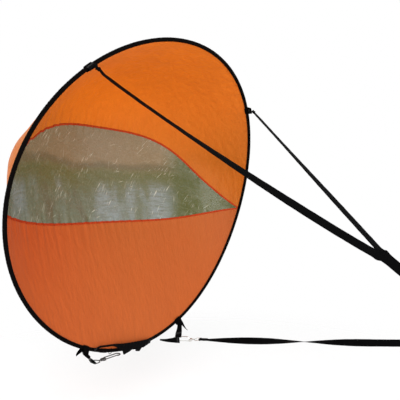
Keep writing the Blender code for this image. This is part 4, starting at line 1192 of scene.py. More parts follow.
@dataclass
class SailSkin:
    """The two cloth panels, the window and the seam tapes."""

    sail: Sail
    wardrobe: Wardrobe
    puckers: Puckers = field(default_factory=Puckers)
    columns: int = 300
    upper_rows: int = 64
    lower_rows: int = 50
    film_rows: int = 44
    tape_steps: int = 520
    tape_half: float = 0.0045
    tape_swell: float = 0.0011
    calm_reach: float = 0.03

    def column_share(self, number: int, count: int) -> float:
        """How far a column stands out along a seam, from minus one to one."""
        share = 2 * number / count - 1
        return 0.85 * math.sin(math.pi / 2 * share) + 0.15 * share

    def soft_wave(self, x: float, z: float) -> float:
        """The slow unevenness of filled cloth, nothing at the rim.

        Args:
            x: Place across the hoop's plane.
            z: Place up the hoop's plane.

        Returns:
            The offset in metres.
        """
        radius = math.hypot(x, z)
        fade = smooth((self.sail.form.hoop_radius - radius) / 0.10)
        value = ripple(x * 1.5 + z * 0.9, 5.0) * 0.6 + ripple(z * 1.8 - x * 0.7, 9.0) * 0.4
        return 0.0011 * fade * value

    def rim_gather(self, angle: float, away: float) -> float:
        """Small gathers where the cloth goes into the sleeve."""
        start = smooth(away / 0.008)
        return 0.0009 * start * math.exp(-away / 0.030) * ripple(angle * 9.0, 21.0)

    def offset(self, x: float, z: float, share: float, away: Sequence[tuple[Seam, float]],
               slack: float = 1.0) -> float:
        """How far the cloth stands off its plain form.

        Args:
            x: Place across the hoop's plane.
            z: Place up the hoop's plane.
            share: Place along the seams.
            away: Distance to each seam that is near.
            slack: How far gathers run, as a share.

        Returns:
            The offset in metres.
        """
        total = self.soft_wave(x, z)
        for seam, distance in away:
            total += self.puckers.beside(share, seam.value, distance, slack)
        return total

    def sheet(self, grid: Sequence[Sequence[tuple[float, float, float]]]) -> tuple[Draft, float]:
        """A closed sheet over a grid of places.

        Args:
            grid: Columns of places: x, z and offset.

        Returns:
            The sheet and the area of one face in square metres.
        """
        draft = Draft()
        half = self.sail.form.cloth / 2
        rows = len(grid[0])
        for column in grid:
            for x, z, offset in column:
                draft.points.append(self.sail.skin(x, z, offset - half))
                draft.points.append(self.sail.skin(x, z, offset + half))

        def at(column: int, row: int, side: int) -> int:
            """Index of a place's point on one side."""
            return (column * rows + row) * 2 + side

        def mark(column: int, row: int) -> tuple[float, float]:
            """Surface coordinates of a place."""
            return grid[column][row][:2]

        def wall(first: tuple[int, int], second: tuple[int, int], flip: bool) -> None:
            """Closes the sheet's edge between two places.

            Args:
                first: Column and row of the first place.
                second: Column and row of the second.
                flip: Whether the face is turned over.
            """
            edge = [at(*first, 0), at(*second, 0), at(*second, 1), at(*first, 1)]
            marks = [mark(*first), mark(*second), mark(*second), mark(*first)]
            draft.face(edge[::-1] if flip else edge, marks)

        area = 0.0
        last = len(grid) - 1
        for column in range(last):
            for row in range(rows - 1):
                spots = ((column, row), (column + 1, row), (column + 1, row + 1), (column, row + 1))
                marks = [mark(*spot) for spot in spots]
                front = [at(*spot, 0) for spot in spots]
                back = [at(*spot, 1) for spot in spots]
                draft.face(front, marks)
                draft.face(back[::-1], marks[::-1])
                a, b, c, d = (draft.points[index] for index in front)
                area += ((c - a).cross(d - b)).length / 2
            wall((column, 0), (column + 1, 0), True)
            wall((column, rows - 1), (column + 1, rows - 1), False)
        for column, flip in ((0, False), (last, True)):
            for row in range(rows - 1):
                wall((column, row), (column, row + 1), flip)
        return draft, area

    def hang(self, draft: Draft, area: float, name: str, node: str, slot: str, finish: str,
             flat: tuple[float, float], rests_on: list[str]) -> None:
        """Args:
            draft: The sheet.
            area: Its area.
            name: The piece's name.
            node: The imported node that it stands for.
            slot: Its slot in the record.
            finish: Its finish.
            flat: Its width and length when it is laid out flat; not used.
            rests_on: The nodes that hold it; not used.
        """
        piece = self.wardrobe.make(draft, name, node, slot, "sail", [finish], 80.0)
        LOG.info("%s: %.3f square metres", name, area)

    def panel(self, layer: Seam) -> None:
        """One cloth panel between a seam and the sleeve.

        Args:
            layer: The seam that it is sewn to.
        """
        form = self.sail.form
        upper = layer is Seam.UPPER
        seam = form.upper_seam if upper else form.lower_seam
        shift = form.seam_gap / 2 * (1 if upper else -1)
        end = form.seam_end(seam, shift)
        corner = math.atan2(*seam(end, shift))
        rows = self.upper_rows if upper else self.lower_rows
        grid = []
        for number in range(self.columns + 1):
            share = self.column_share(number, self.columns)
            start = seam(share * end, shift)
            step = 2 * number / self.columns - 1
            angle = step * corner if upper else math.pi - step * (math.pi - corner)
            stop = form.inside_rim(angle, form.cavity)
            column = []
            for row in range(rows + 1):
                spot = (row / rows) ** 1.35
                x = start[0] + (stop[0] - start[0]) * spot
                z = start[1] + (stop[1] - start[1]) * spot
                away = math.hypot(x - start[0], z - start[1])
                left = math.hypot(stop[0] - x, stop[1] - z)
                offset = self.offset(x, z, share, ((layer, away),))
                offset = offset * smooth(left / self.calm_reach) + self.rim_gather(angle, left)
                column.append((x, z, offset))
            grid.append(column)
        draft, area = self.sheet(grid)
        # The upper panel takes the painted-light copy of the cloth, the lower panel the painted-shade copy.
        if upper:
            self.hang(draft, area, "upper_sail_cloth", "upper_panel", "orange_fabric", "upper_sailcloth_painted_light",
                      (1.30, 0.78), ["rim_binding"])
        else:
            self.hang(draft, area, "lower_sail_cloth", "lower_panel", "orange_fabric_lower",
                      "lower_sailcloth_painted_shade", (1.30, 0.60), ["rim_binding"])

    def window(self) -> None:
        """The clear window between the two seams."""
        form = self.sail.form
        low_end = form.seam_end(form.lower_seam, form.seam_gap / 2)
        high_end = form.seam_end(form.upper_seam, -form.seam_gap / 2)
        grid = []
        for number in range(self.columns + 1):
            share = self.column_share(number, self.columns)
            low = form.lower_seam(share * low_end, form.seam_gap / 2)
            high = form.upper_seam(share * high_end, -form.seam_gap / 2)
            column = []
            for row in range(self.film_rows + 1):
                spot = 0.5 - 0.5 * math.cos(math.pi * row / self.film_rows)
                x = low[0] + (high[0] - low[0]) * spot
                z = low[1] + (high[1] - low[1]) * spot
                below = math.hypot(x - low[0], z - low[1])
                above = math.hypot(high[0] - x, high[1] - z)
                offset = self.offset(x, z, share, ((Seam.LOWER, below), (Seam.UPPER, above)), 0.22)
                reach = form.hoop_radius - form.cavity - math.hypot(x, z)
                column.append((x, z, offset * smooth(reach / self.calm_reach)))
            grid.append(column)
        self.hang(*self.sheet(grid), "window_vinyl_sheet", "window_film", "clear_film", "window_vinyl",
                  (1.25, 0.37), ["window_top_tape", "window_bottom_tape"])

    def tape(self, name: str, node: str, layer: Seam) -> None:
        """A seam tape with two rows of stitches.

        Args:
            name: The piece's name.
            node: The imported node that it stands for.
            layer: Which seam it covers.
        """
        form = self.sail.form
        seam = form.upper_seam if layer is Seam.UPPER else form.lower_seam
        end = form.seam_end(seam, 0.0)
        count = self.tape_steps
        section = (-1.0, -0.72, -0.30, 0.0, 0.30, 0.72, 1.0)
        draft = Draft()
        rings, along = [], []
        length = 0.0
        before: Optional[Vector] = None
        front = -(form.cloth / 2 + 0.3 * MM)
        line: list[tuple[Vector, Vector, Vector]] = []
        for number in range(count + 1):
            share = -1 + 2 * number / count
            x, z = seam(share * end)
            ahead = seam(min(share * end + 0.002, 1.0))
            behind = seam(max(share * end - 0.002, -1.0))
            run = unit(Vector((ahead[0] - behind[0], 0.0, ahead[1] - behind[1])))
            cross = Vector((-run.z, 0.0, run.x))
            steep = (form.skin_point(x + cross.x * 0.001, z + cross.z * 0.001)
                     - form.skin_point(x, z)).length / 0.001
            half = self.tape_half / steep * (0.92 + 0.10 * ripple(share * 16.0, 31.0))
            fade = smooth((1 - abs(share)) / 0.12)
            reach = form.hoop_radius - form.cavity - math.hypot(x, z)
            offset = self.offset(x, z, share, ((layer, 0.0),)) * smooth(reach / self.calm_reach)
            top, bottom = [], []
            for step in section:
                px = x + cross.x * half * step
                pz = z + cross.z * half * step
                if math.hypot(px, pz) > form.hoop_radius - 0.002:
                    scale = (form.hoop_radius - 0.002) / math.hypot(px, pz)
                    px, pz = px * scale, pz * scale
                swell = self.tape_swell * (1 - step * step) * (0.8 + 0.2 * fade)
                gather = 0.00022 * math.sin(number * 2.1) * (1 - abs(step))
                top.append(self.sail.skin(px, pz, offset + front - 0.35 * MM - swell - gather))
                bottom.append(self.sail.skin(px, pz, offset + front + 0.2 * MM))
            rings.append(top + bottom[::-1])
            middle = top[3]
            if before is not None:
                length += (middle - before).length
            before = middle
            along.append(length)
            if number % 2 == 0 and 0 < number < count:
                lift = unit(self.sail.turn @ -form.skin_normal(x, z))
                line.append((top[1], top[5], lift))
        around = [step * self.tape_half for step in section]
        around = around + around[::-1] + [around[0]]
        draft.rings(rings, around, along + [length], slot=0)
        for row in (0, 1):
            for here, there in zip(line, line[1:]):
                start, stop = here[row], there[row]
                gap = (stop - start) * 0.18
                draft.stitch(start + gap, stop - gap, here[2], 0.28 * MM, THREAD_SLOT)
        self.wardrobe.make(draft, name, node, "red_tape", "sail", ("seam_tape", "red_thread"))

    def build(self) -> None:
        """Makes the panels, the window and the tapes."""
        self.panel(Seam.UPPER)
        self.panel(Seam.LOWER)
        self.window()
        self.tape("upper_seam_tape", "window_top_tape", Seam.UPPER)
        self.tape("lower_seam_tape", "window_bottom_tape", Seam.LOWER)


# Webbing
Station = tuple[Vector, Vector, float, float]


def resample(stations: Sequence[Station], spacing: float, closed: bool) -> list[Station]:
    """Stations at an even spacing on a smooth line through the given ones.

    Args:
        stations: Centre, across direction, width and thickness at each place.
        spacing: Rough distance between the new ones.
        closed: Whether the last meets the first.

    Returns:
        The new stations.
    """
    count = len(stations)
    result: list[Station] = []
    spans = count if closed else count - 1

    def pick(index: int) -> Station:
        """The station at an index, held at the ends of an open run.

        Args:
            index: The index, which may lie past an end.

        Returns:
            The station.
        """
        if closed:
            return stations[index % count]
        return stations[min(max(index, 0), count - 1)]

    for index in range(spans):
        a, b, c, d = (pick(index + step) for step in (-1, 0, 1, 2))
        chord = (c[0] - b[0]).length
        parts = max(1, round(chord / spacing))
        before = max((b[0] - a[0]).length, 1e-6)
        beyond = max((d[0] - c[0]).length, 1e-6)
        lead = (c[0] - a[0]) / (chord + before) * chord if (b[0] - a[0]).length > 1e-6 else c[0] - b[0]
        trail = (d[0] - b[0]) / (chord + beyond) * chord if (d[0] - c[0]).length > 1e-6 else c[0] - b[0]
        for part in range(parts):
            t = part / parts
            centre = (b[0] * (2 * t ** 3 - 3 * t ** 2 + 1) + lead * (t ** 3 - 2 * t ** 2 + t)
                      + c[0] * (3 * t ** 2 - 2 * t ** 3) + trail * (t ** 3 - t ** 2))
            result.append((centre, unit(b[1].lerp(c[1], t)), b[2] + (c[2] - b[2]) * t,
                           b[3] + (c[3] - b[3]) * t))
    if not closed:
        result.append(stations[-1])
    return result


@dataclass
class Webbing:
    """A run of flat woven strap."""

    stations: list[Station]
    closed: bool = False
    spacing: float = 0.003
    seed: float = 1.0
    flutter: float = 0.0002
    crown: float = 0.12
    along: list[float] = field(default_factory=list)
    centres: list[Vector] = field(default_factory=list)
    frames: list[tuple[Vector, Vector, Vector, float, float]] = field(default_factory=list)

    def lay(self) -> None:
        """Finds the strap's fine stations."""
        fine = resample(self.stations, self.spacing, self.closed)
        count = len(fine)
        length = 0.0
        self.along = [0.0]
        for index, (centre, across, width, thickness) in enumerate(fine):
            before = fine[index - 1][0] if index or self.closed else centre
            after = fine[(index + 1) % count][0] if index < count - 1 or self.closed else centre
            tangent = unit(after - before)
            across = unit(across)
            ends = 1.0 if self.closed else smooth(min(index, count - 1 - index) / 6)
            wave = self.flutter * ends * ripple(index * self.spacing * 14.0, self.seed)
            middle = centre + unit(tangent.cross(across)) * wave
            self.centres.append(middle)
            self.frames.append((middle, tangent, across, width, thickness))
            length += (after - centre).length
            self.along.append(length)

    def draft(self, draft: Draft, slot: int = 0) -> None:
        """Adds the strap's skin to a draft.

        Args:
            draft: Where it goes.
            slot: Which finish it takes.
        """
        if not self.frames:
            self.lay()
        section = (-1.0, -0.93, -0.6, -0.2, 0.2, 0.6, 0.93, 1.0)
        rings = []
        for index, (middle, tangent, across, width, thickness) in enumerate(self.frames):
            normal = unit(tangent.cross(across))
            half = width / 2 * (1 + 0.012 * ripple(index * self.spacing * 30.0, self.seed + 2.0))
            thick = thickness / 2
            top, bottom = [], []
            for step in section:
                edge = smooth((1 - abs(step)) / 0.12)
                bulge = thick * (0.45 + 0.55 * edge) * (1 + self.crown * (1 - step * step))
                lip = thick * 0.16 * math.exp(-((abs(step) - 0.86) / 0.07) ** 2)
                top.append(middle + across * (half * step) + normal * (bulge + lip))
                bottom.append(middle + across * (half * step) - normal * (bulge + lip))
            rings.append(top + bottom[::-1])
        around = [step * 0.0125 for step in section]
        around = around + around[::-1] + [around[0]]
        draft.rings(rings, around, self.along, self.closed, slot)

    def length(self) -> float:
        """Length of the drafted strap along its middle."""
        return sum((after - before).length for before, after in zip(self.centres, self.centres[1:]))

    def near(self, point: Vector, reach: float, slack: float) -> list[int]:
        """Fine stations at about a given reach from a point."""
        return [index for index, spot in enumerate(self.centres)
                if abs((spot - point).length - reach) < slack]

    def bartack(self, draft: Draft, index: int, run: float, rows: int = 9, share: float = 0.84) -> None:
        """Adds a block of crossing stitches on both faces.

        Args:
            draft: Where it goes.
            index: Which fine station it is centred on.
            run: Its length along the strap.
            rows: How many stitches cross it.
            share: Its width as a share of the strap's.
        """
        centre, tangent, across, width, thickness = self.frames[index]
        normal = unit(tangent.cross(across))
        for face in (-1, 1):
            lift = normal * face
            base = centre + lift * (thickness / 2 * 1.15)
            for row in range(rows):
                place = tangent * (run * (row / (rows - 1) - 0.5))
                lean = tangent * (run / (rows - 1) * 0.45)
                half = across * (width / 2 * share)
                draft.stitch(base + place - half - lean, base + place + half + lean, lift, 0.32 * MM,
                             THREAD_SLOT)
            for side in (-1, 1):
                edge = across * (width / 2 * share * 1.04 * side)
                steps = max(3, round(run / 0.003))
                for step in range(steps):
                    start = base + edge + tangent * (run * (step / steps - 0.5))
                    stop = start + tangent * (run / steps * 0.8)
                    draft.stitch(start, stop, lift, 0.30 * MM, THREAD_SLOT)


def arc_steps(start: float, stop: float, largest: float = math.radians(22)) -> tuple[list[float], float]:
    """Angles from start to stop in equal steps, and how much the chords must be let out.

    Args:
        start: The first angle.
        stop: The last angle.
        largest: The largest step.

    Returns:
        The angles, and the factor for the radius.
    """
    count = max(2, math.ceil(abs(stop - start) / largest))
    angles = [start + (stop - start) * number / count for number in range(count + 1)]
    return angles, 1 / math.cos(abs(stop - start) / count / 2)


def eased(start: Vector, stop: Vector, way: Vector, share: float) -> Vector:
    """A point between two ends whose drift along the rim starts and stops softly."""
    drift = (stop - start).dot(way)
    return start.lerp(stop, share) + way * (drift * (smooth(share) - share))


LEG_SHARES = (0.2, 0.4, 0.6, 0.8)


@dataclass(frozen=True)
class StrapSizes:
    """Sizes that all the straps share, in metres."""

    width: float = 0.025
    thickness: float = 0.0016
    clear: float = 0.0003
    fold: float = 0.0009
    slit_margin: float = math.radians(14.0)
    upper_angle: float = math.radians(44.9)
    lower_offset: float = math.radians(24.5)
    knot: float = 0.0060

    def station(self, point: Vector, across: Vector) -> Station:
        """A station of plain webbing."""
        return point, across, self.width, self.thickness


SIZES = StrapSizes()


def joint_place(name: str) -> tuple[Vector, Vector]:
    """Where a packed joint's axis is, and its direction."""
    found = next(joint for joint in frame["joints"] if joint["name"] == name)
    return Vector(found["pos_m"]), unit(Vector(found["axis"]))


def rim_tab(sail: Sail, angle: float, target: Vector, bar_axis: Vector, bar_radius: float) -> list[Station]:
    """Stations of webbing that wraps the rim and folds round a bar.

    Args:
        sail: The sail.
        angle: Where on the rim.
        target: Centre of the bar.
        bar_axis: Direction of the bar.
        bar_radius: Its radius.

    Returns:
        The stations from one end of the wrap to the other.
    """
    centre, way, inward, back, skin = sail.rim_frame(angle)
    radius = sail.form.sleeve + 0.9 * MM + SIZES.thickness / 2
    toward = target - centre
    lead = math.atan2(toward.dot(back), toward.dot(inward))
    slit = (math.atan2(skin.dot(back), skin.dot(inward)) - lead) % TURN
    if bar_axis.dot(way) < 0:
        bar_axis = -bar_axis
    stations: list[Station] = []

    def add(point: Vector, across: Vector) -> None:
        """Adds one station."""
        stations.append(SIZES.station(point, across))

    def on_rim(turn: float, let_out: float) -> Vector:
        """A point of the wrap round the rim."""
        return centre + swing(inward, back, lead + turn) * (radius * let_out)

    angles, let_out = arc_steps(slit - SIZES.slit_margin, math.pi / 2)
    for turn in angles:
        add(on_rim(turn, let_out), way)
    ahead = square_to(toward, bar_axis)
    aside = bar_axis.cross(ahead)
    fold = bar_radius + SIZES.clear + SIZES.thickness / 2
    turns, fold_out = arc_steps(math.pi / 2, -math.pi / 2, math.radians(30))
    folded = [target + swing(ahead, aside, turn) * (fold * fold_out) for turn in turns]
    start = stations[-1][0]
    for share in LEG_SHARES:
        add(eased(start, folded[0], way, share), way.lerp(bar_axis, smooth(share)))
    for point in folded:
        add(point, bar_axis)
    angles, let_out = arc_steps(3 * math.pi / 2, slit + SIZES.slit_margin)
    stop = on_rim(angles[0], let_out)
    for share in reversed(LEG_SHARES):
        add(eased(stop, folded[-1], way, share), way.lerp(bar_axis, smooth(share)))
    for turn in angles:
        add(on_rim(turn, let_out), way)
    return stations


def knot_path(centre: Vector, ahead: Vector, across: Vector, size: float, count: int = 90) -> list[Vector]:
    """A pulled-tight overhand knot's line.

    Args:
        centre: The knot's centre.
        ahead: The strap's direction.
        across: A direction square to it.
        size: The knot's outer radius.
        count: Points on the line.

    Returns:
        The points, which close on themselves.
    """
    third = ahead.cross(across)
    points = []
    for number in range(count):
        turn = TURN * number / count
        x = math.sin(turn) + 2 * math.sin(2 * turn)
        y = math.cos(turn) - 2 * math.cos(2 * turn)
        z = -math.sin(3 * turn)
        points.append(centre + (ahead * x * 1.1 + across * y * 0.9 + third * z * 1.5) * (size / 4.2))
    return points


@dataclass
class Bridle:
    """Upper tabs, the two straps that meet, and the hand loop."""

    sail: Sail
    wardrobe: Wardrobe
    junction: Vector = field(default_factory=lambda: Vector((0.0, -0.8962, 0.3958)))
    lead_angle: float = math.radians(38.0)
    lead_length: float = 0.100
    bend_length: float = 0.024
    neck_width: float = 0.0100
    neck_thickness: float = 0.0040
    knot_length: float = 0.0130
    spread_length: float = 0.060
    ply_gap: float = 0.0004
    hand_opening: float = 0.105
    hand_width: float = 0.060
    hinge_half: float = 0.38071
    early_turns: dict[int, float] = field(
        default_factory=lambda: {-1: math.radians(35), 1: math.radians(12)})
    sags: dict[int, float] = field(default_factory=lambda: {-1: 0.0190, 1: 0.0})

    def __post_init__(self) -> None:
        """Finds the lead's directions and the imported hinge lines."""
        self.lead_way = Vector((0.0, -math.cos(self.lead_angle), -math.sin(self.lead_angle)))
        self.lead_across = Vector((0.0, -math.sin(self.lead_angle), math.cos(self.lead_angle)))
        self.swing, _ = joint_place("bridle_swing")
        self.hand_pivot, _ = joint_place("hand_loop_fold")

    def hinge(self, side: int) -> Vector:
        """Where a strap is tied to its tab."""
        return Vector((side * self.hinge_half, self.swing.y, self.swing.z))

    def strap_stations(self, side: int) -> list[Station]:
        """Stations of one strap from its knot to the hand loop.

        Args:
            side: Minus one on the left, one on the right.

        Returns:
            The stations.
        """
        hinge = self.hinge(side)
        meet = self.junction + RIGHT * (side * (SIZES.thickness + self.ply_gap) / 2)
        way = unit(meet - hinge)
        start_across = square_to(RIGHT, way)
        stop_across = square_to(self.lead_across, way)
        length = (meet - hinge).length - self.bend_length / 2
        stations: list[Station] = []
        for along, width in ((-0.5, 4.0), (0.0, 6.0), (0.9, 8.0)):
            stations.append((hinge + way * (SIZES.knot * along), start_across, width * MM, 4.0 * MM))
        stations.append((hinge + way * self.knot_length, start_across, self.neck_width,
                         self.neck_thickness))
        steps = 72
        for number in range(steps + 1):
            along = 2 * self.knot_length + (length - 2 * self.knot_length) * number / steps
            share = along / length
            turn = self.early_turns[side] * smooth((share - 0.22) / 0.58)
            turn += (math.pi / 2 - self.early_turns[side]) * smooth((share - 0.965) / 0.035)
            spread = smooth(along / self.spread_length)
            width = self.neck_width + (SIZES.width - self.neck_width) * spread
            thickness = self.neck_thickness + (SIZES.thickness - self.neck_thickness) * spread
            across = swing(start_across, stop_across, turn)
            sag = UP * (-self.sags[side] * math.sqrt(max(math.sin(math.pi * share), 0.0)))
            stations.append((hinge + way * along + sag, across, width, thickness))
        bend_start = meet - way * (self.bend_length / 2)
        bend_stop = meet + self.lead_way * (self.bend_length / 2)
        for share in (1 / 3, 2 / 3, 1.0):
            near = bend_start.lerp(meet, share)
            on = meet.lerp(bend_stop, share)
            stations.append(SIZES.station(near.lerp(on, share), self.lead_across))
        stations.append(SIZES.station(meet + self.lead_way * self.lead_length, self.lead_across))
        return stations

    def strap(self, side: int, label: str) -> None:
        """One strap with its knot and its stitches.

        Args:
            side: Minus one on the left, one on the right.
            label: The word for that side.
        """
        run = Webbing(self.strap_stations(side), seed=3.0 + side, flutter=0.00025, spacing=0.004)
        draft = Draft()
        run.draft(draft)
        if side > 0:
            for place in (-6, -13, -20):
                run.bartack(draft, len(run.frames) + place, 0.012, share=0.85)
        piece = self.wardrobe.make(draft, f"bridle_{label}_webbing", f"bridle_strap_{label}",
                                   "black_webbing", "bridle", WEBBING_FINISHES)
        length = run.length()
        LOG.info("bridle %s: %.3f m", label, length)
        hinge = self.hinge(side)
        way = unit(self.junction - hinge)
        knot = Draft()
        knot.tube(knot_path(hinge + way * 0.0065, way, square_to(RIGHT, way), 0.0076),
                  lambda share: 0.0031 * (1 + 0.08 * ripple(share * 6.0, 2.0 + side)), 12, True,
                  normal=square_to(RIGHT, way), flat=0.8)
        self.wardrobe.make(knot, f"bridle_{label}_knot", None, "black_webbing", "bridle",
                           ("strap_webbing",))

    def tab(self, side: int, label: str) -> None:
        """The tab that ties one strap to the rim.

        Args:
            side: Minus one on the left, one on the right.
            label: The word for that side.
        """
        angle = side * SIZES.upper_angle
        hinge = self.hinge(side)
        centre, way, _, _, _ = self.sail.rim_frame(angle)
        ahead = unit(hinge - centre)
        reach = SIZES.knot + 2 * SIZES.clear + SIZES.thickness + SIZES.fold
        stations = rim_tab(self.sail, angle, hinge - ahead * reach, way, SIZES.fold)
        run = Webbing(stations, seed=11.0 + side, flutter=0.0003, spacing=0.0015)
        draft = Draft()
        run.draft(draft)
        middle = len(run.frames) // 2
        for place in (middle - 9, middle + 9):
            run.bartack(draft, place, 0.004, rows=3, share=0.86)
        self.wardrobe.make(draft, f"upper_{label}_tab_webbing", f"upper_{label}_tab", "black_webbing",
                           "sail", WEBBING_FINISHES)

    def hand_loop(self) -> None:
        """The loop that the paddler holds."""
        stations: list[Station] = []
        half_width = self.hand_width / 2
        fold = SIZES.fold + SIZES.thickness / 2
        lean = math.asin((half_width - fold) / self.hand_opening)
        far_centre = self.hand_pivot + self.lead_way * self.hand_opening
        quarter = math.pi / 2
        turns, let_out = arc_steps(quarter + lean, -quarter - lean, math.radians(15))
        for turn in turns:
            spot = far_centre + swing(self.lead_way, RIGHT, turn) * (half_width * let_out)
            stations.append(SIZES.station(spot, self.lead_across))
        turns, let_out = arc_steps(-quarter - lean, quarter + lean - TURN, math.radians(45))
        for turn in turns:
            spot = self.hand_pivot + swing(self.lead_way, RIGHT, turn) * (fold * let_out)
            stations.append(SIZES.station(spot, self.lead_across))
        run = Webbing(stations, closed=True, seed=17.0, flutter=0.0003, spacing=0.0025)
        draft = Draft()
        run.draft(draft)
        for index in run.near(self.hand_pivot, 0.01525, 0.00125):
            run.bartack(draft, index, 0.010, rows=7)
        self.wardrobe.make(draft, "hand_loop_webbing", "hand_loop", "black_webbing", "hand_loop",
                           WEBBING_FINISHES)

    def build(self) -> None:
        """Makes the bridle."""
        for side, label in ((-1, "left"), (1, "right")):
            self.strap(side, label)
            self.tab(side, label)
        self.hand_loop()


@dataclass(frozen=True)
class HookSizes:
    """Sizes of a snap hook in its own frame: Z from the eye to the bow, X toward the gate."""

    wire: float = 0.0019
    barrel_radius: float = 0.0050
    barrel_length: float = 0.0100
    stem: float = 0.0018
    length: float = 0.082
    half_width: float = 0.0100
    nose: float = 0.0070
    gate_thickness: float = 0.0022
    gate_width: float = 0.0036
    pin: float = 0.0011
    pin_height: float = 0.0135
    knuckle: float = 0.0027
    lug: float = 0.0014
    eye_wire: float = 0.0016
    eye_half: float = 0.0152
    eye_length: float = 0.0310
    eye_neck: float = 0.0070
    eye_shoulder: float = 0.0150
    clear: float = 0.0003

    @property
    def bow_height(self) -> float:
        """Height at which the bow starts to turn."""
        return self.length - self.wire - self.half_width

    @property
    def gate_out(self) -> float:
        """How far the gate stands from the hook's middle line."""
        return self.half_width - self.wire - self.clear - self.gate_thickness / 2

    @property
    def reach(self) -> float:
        """From the eye's bar to the bow's tip."""
        return self.length + self.eye_length


def axes(frame_of: Matrix) -> tuple[Vector, Vector, Vector]:
    """Side, normal and ahead directions of a hook's frame."""
    return tuple(frame_of.to_3x3().transposed())


def hook_frame(bar: Vector, bow: Vector, gate_side: Vector, eye_length: float) -> Matrix:
    """Matrix of a hook from its eye bar, its bow and the side that its gate is on.

    Args:
        bar: Centre of the eye's bar.
        bow: Far end of the hook.
        gate_side: Direction in which its gate lies.
        eye_length: How far the bar is from the hook.

    Returns:
        The matrix.
    """
    ahead = unit(bow - bar)
    side = square_to(gate_side, ahead)
    normal = ahead.cross(side)
    result = Matrix((side, normal, ahead)).transposed().to_4x4()
    result.translation = bar + ahead * eye_length
    return result


def rounded(corners: Sequence[Vector], radii: Sequence[float], steps: int = 7,
            closed: bool = False) -> list[Vector]:
    """A path through corners that are each rounded off.

    Args:
        corners: The corners.
        radii: How far from each corner its curve starts.
        steps: Points on each curve.
        closed: Whether the path meets itself.

    Returns:
        The points.
    """
    count = len(corners)
    result: list[Vector] = []
    for index, corner in enumerate(corners):
        if not closed and index in (0, count - 1):
            result.append(corner)
            continue
        before, after = corners[index - 1], corners[(index + 1) % count]
        start = corner + unit(before - corner) * radii[index]
        stop = corner + unit(after - corner) * radii[index]
        for number in range(steps + 1):
            t = number / steps
            result.append(start.lerp(corner, t).lerp(corner.lerp(stop, t), t))
    return result


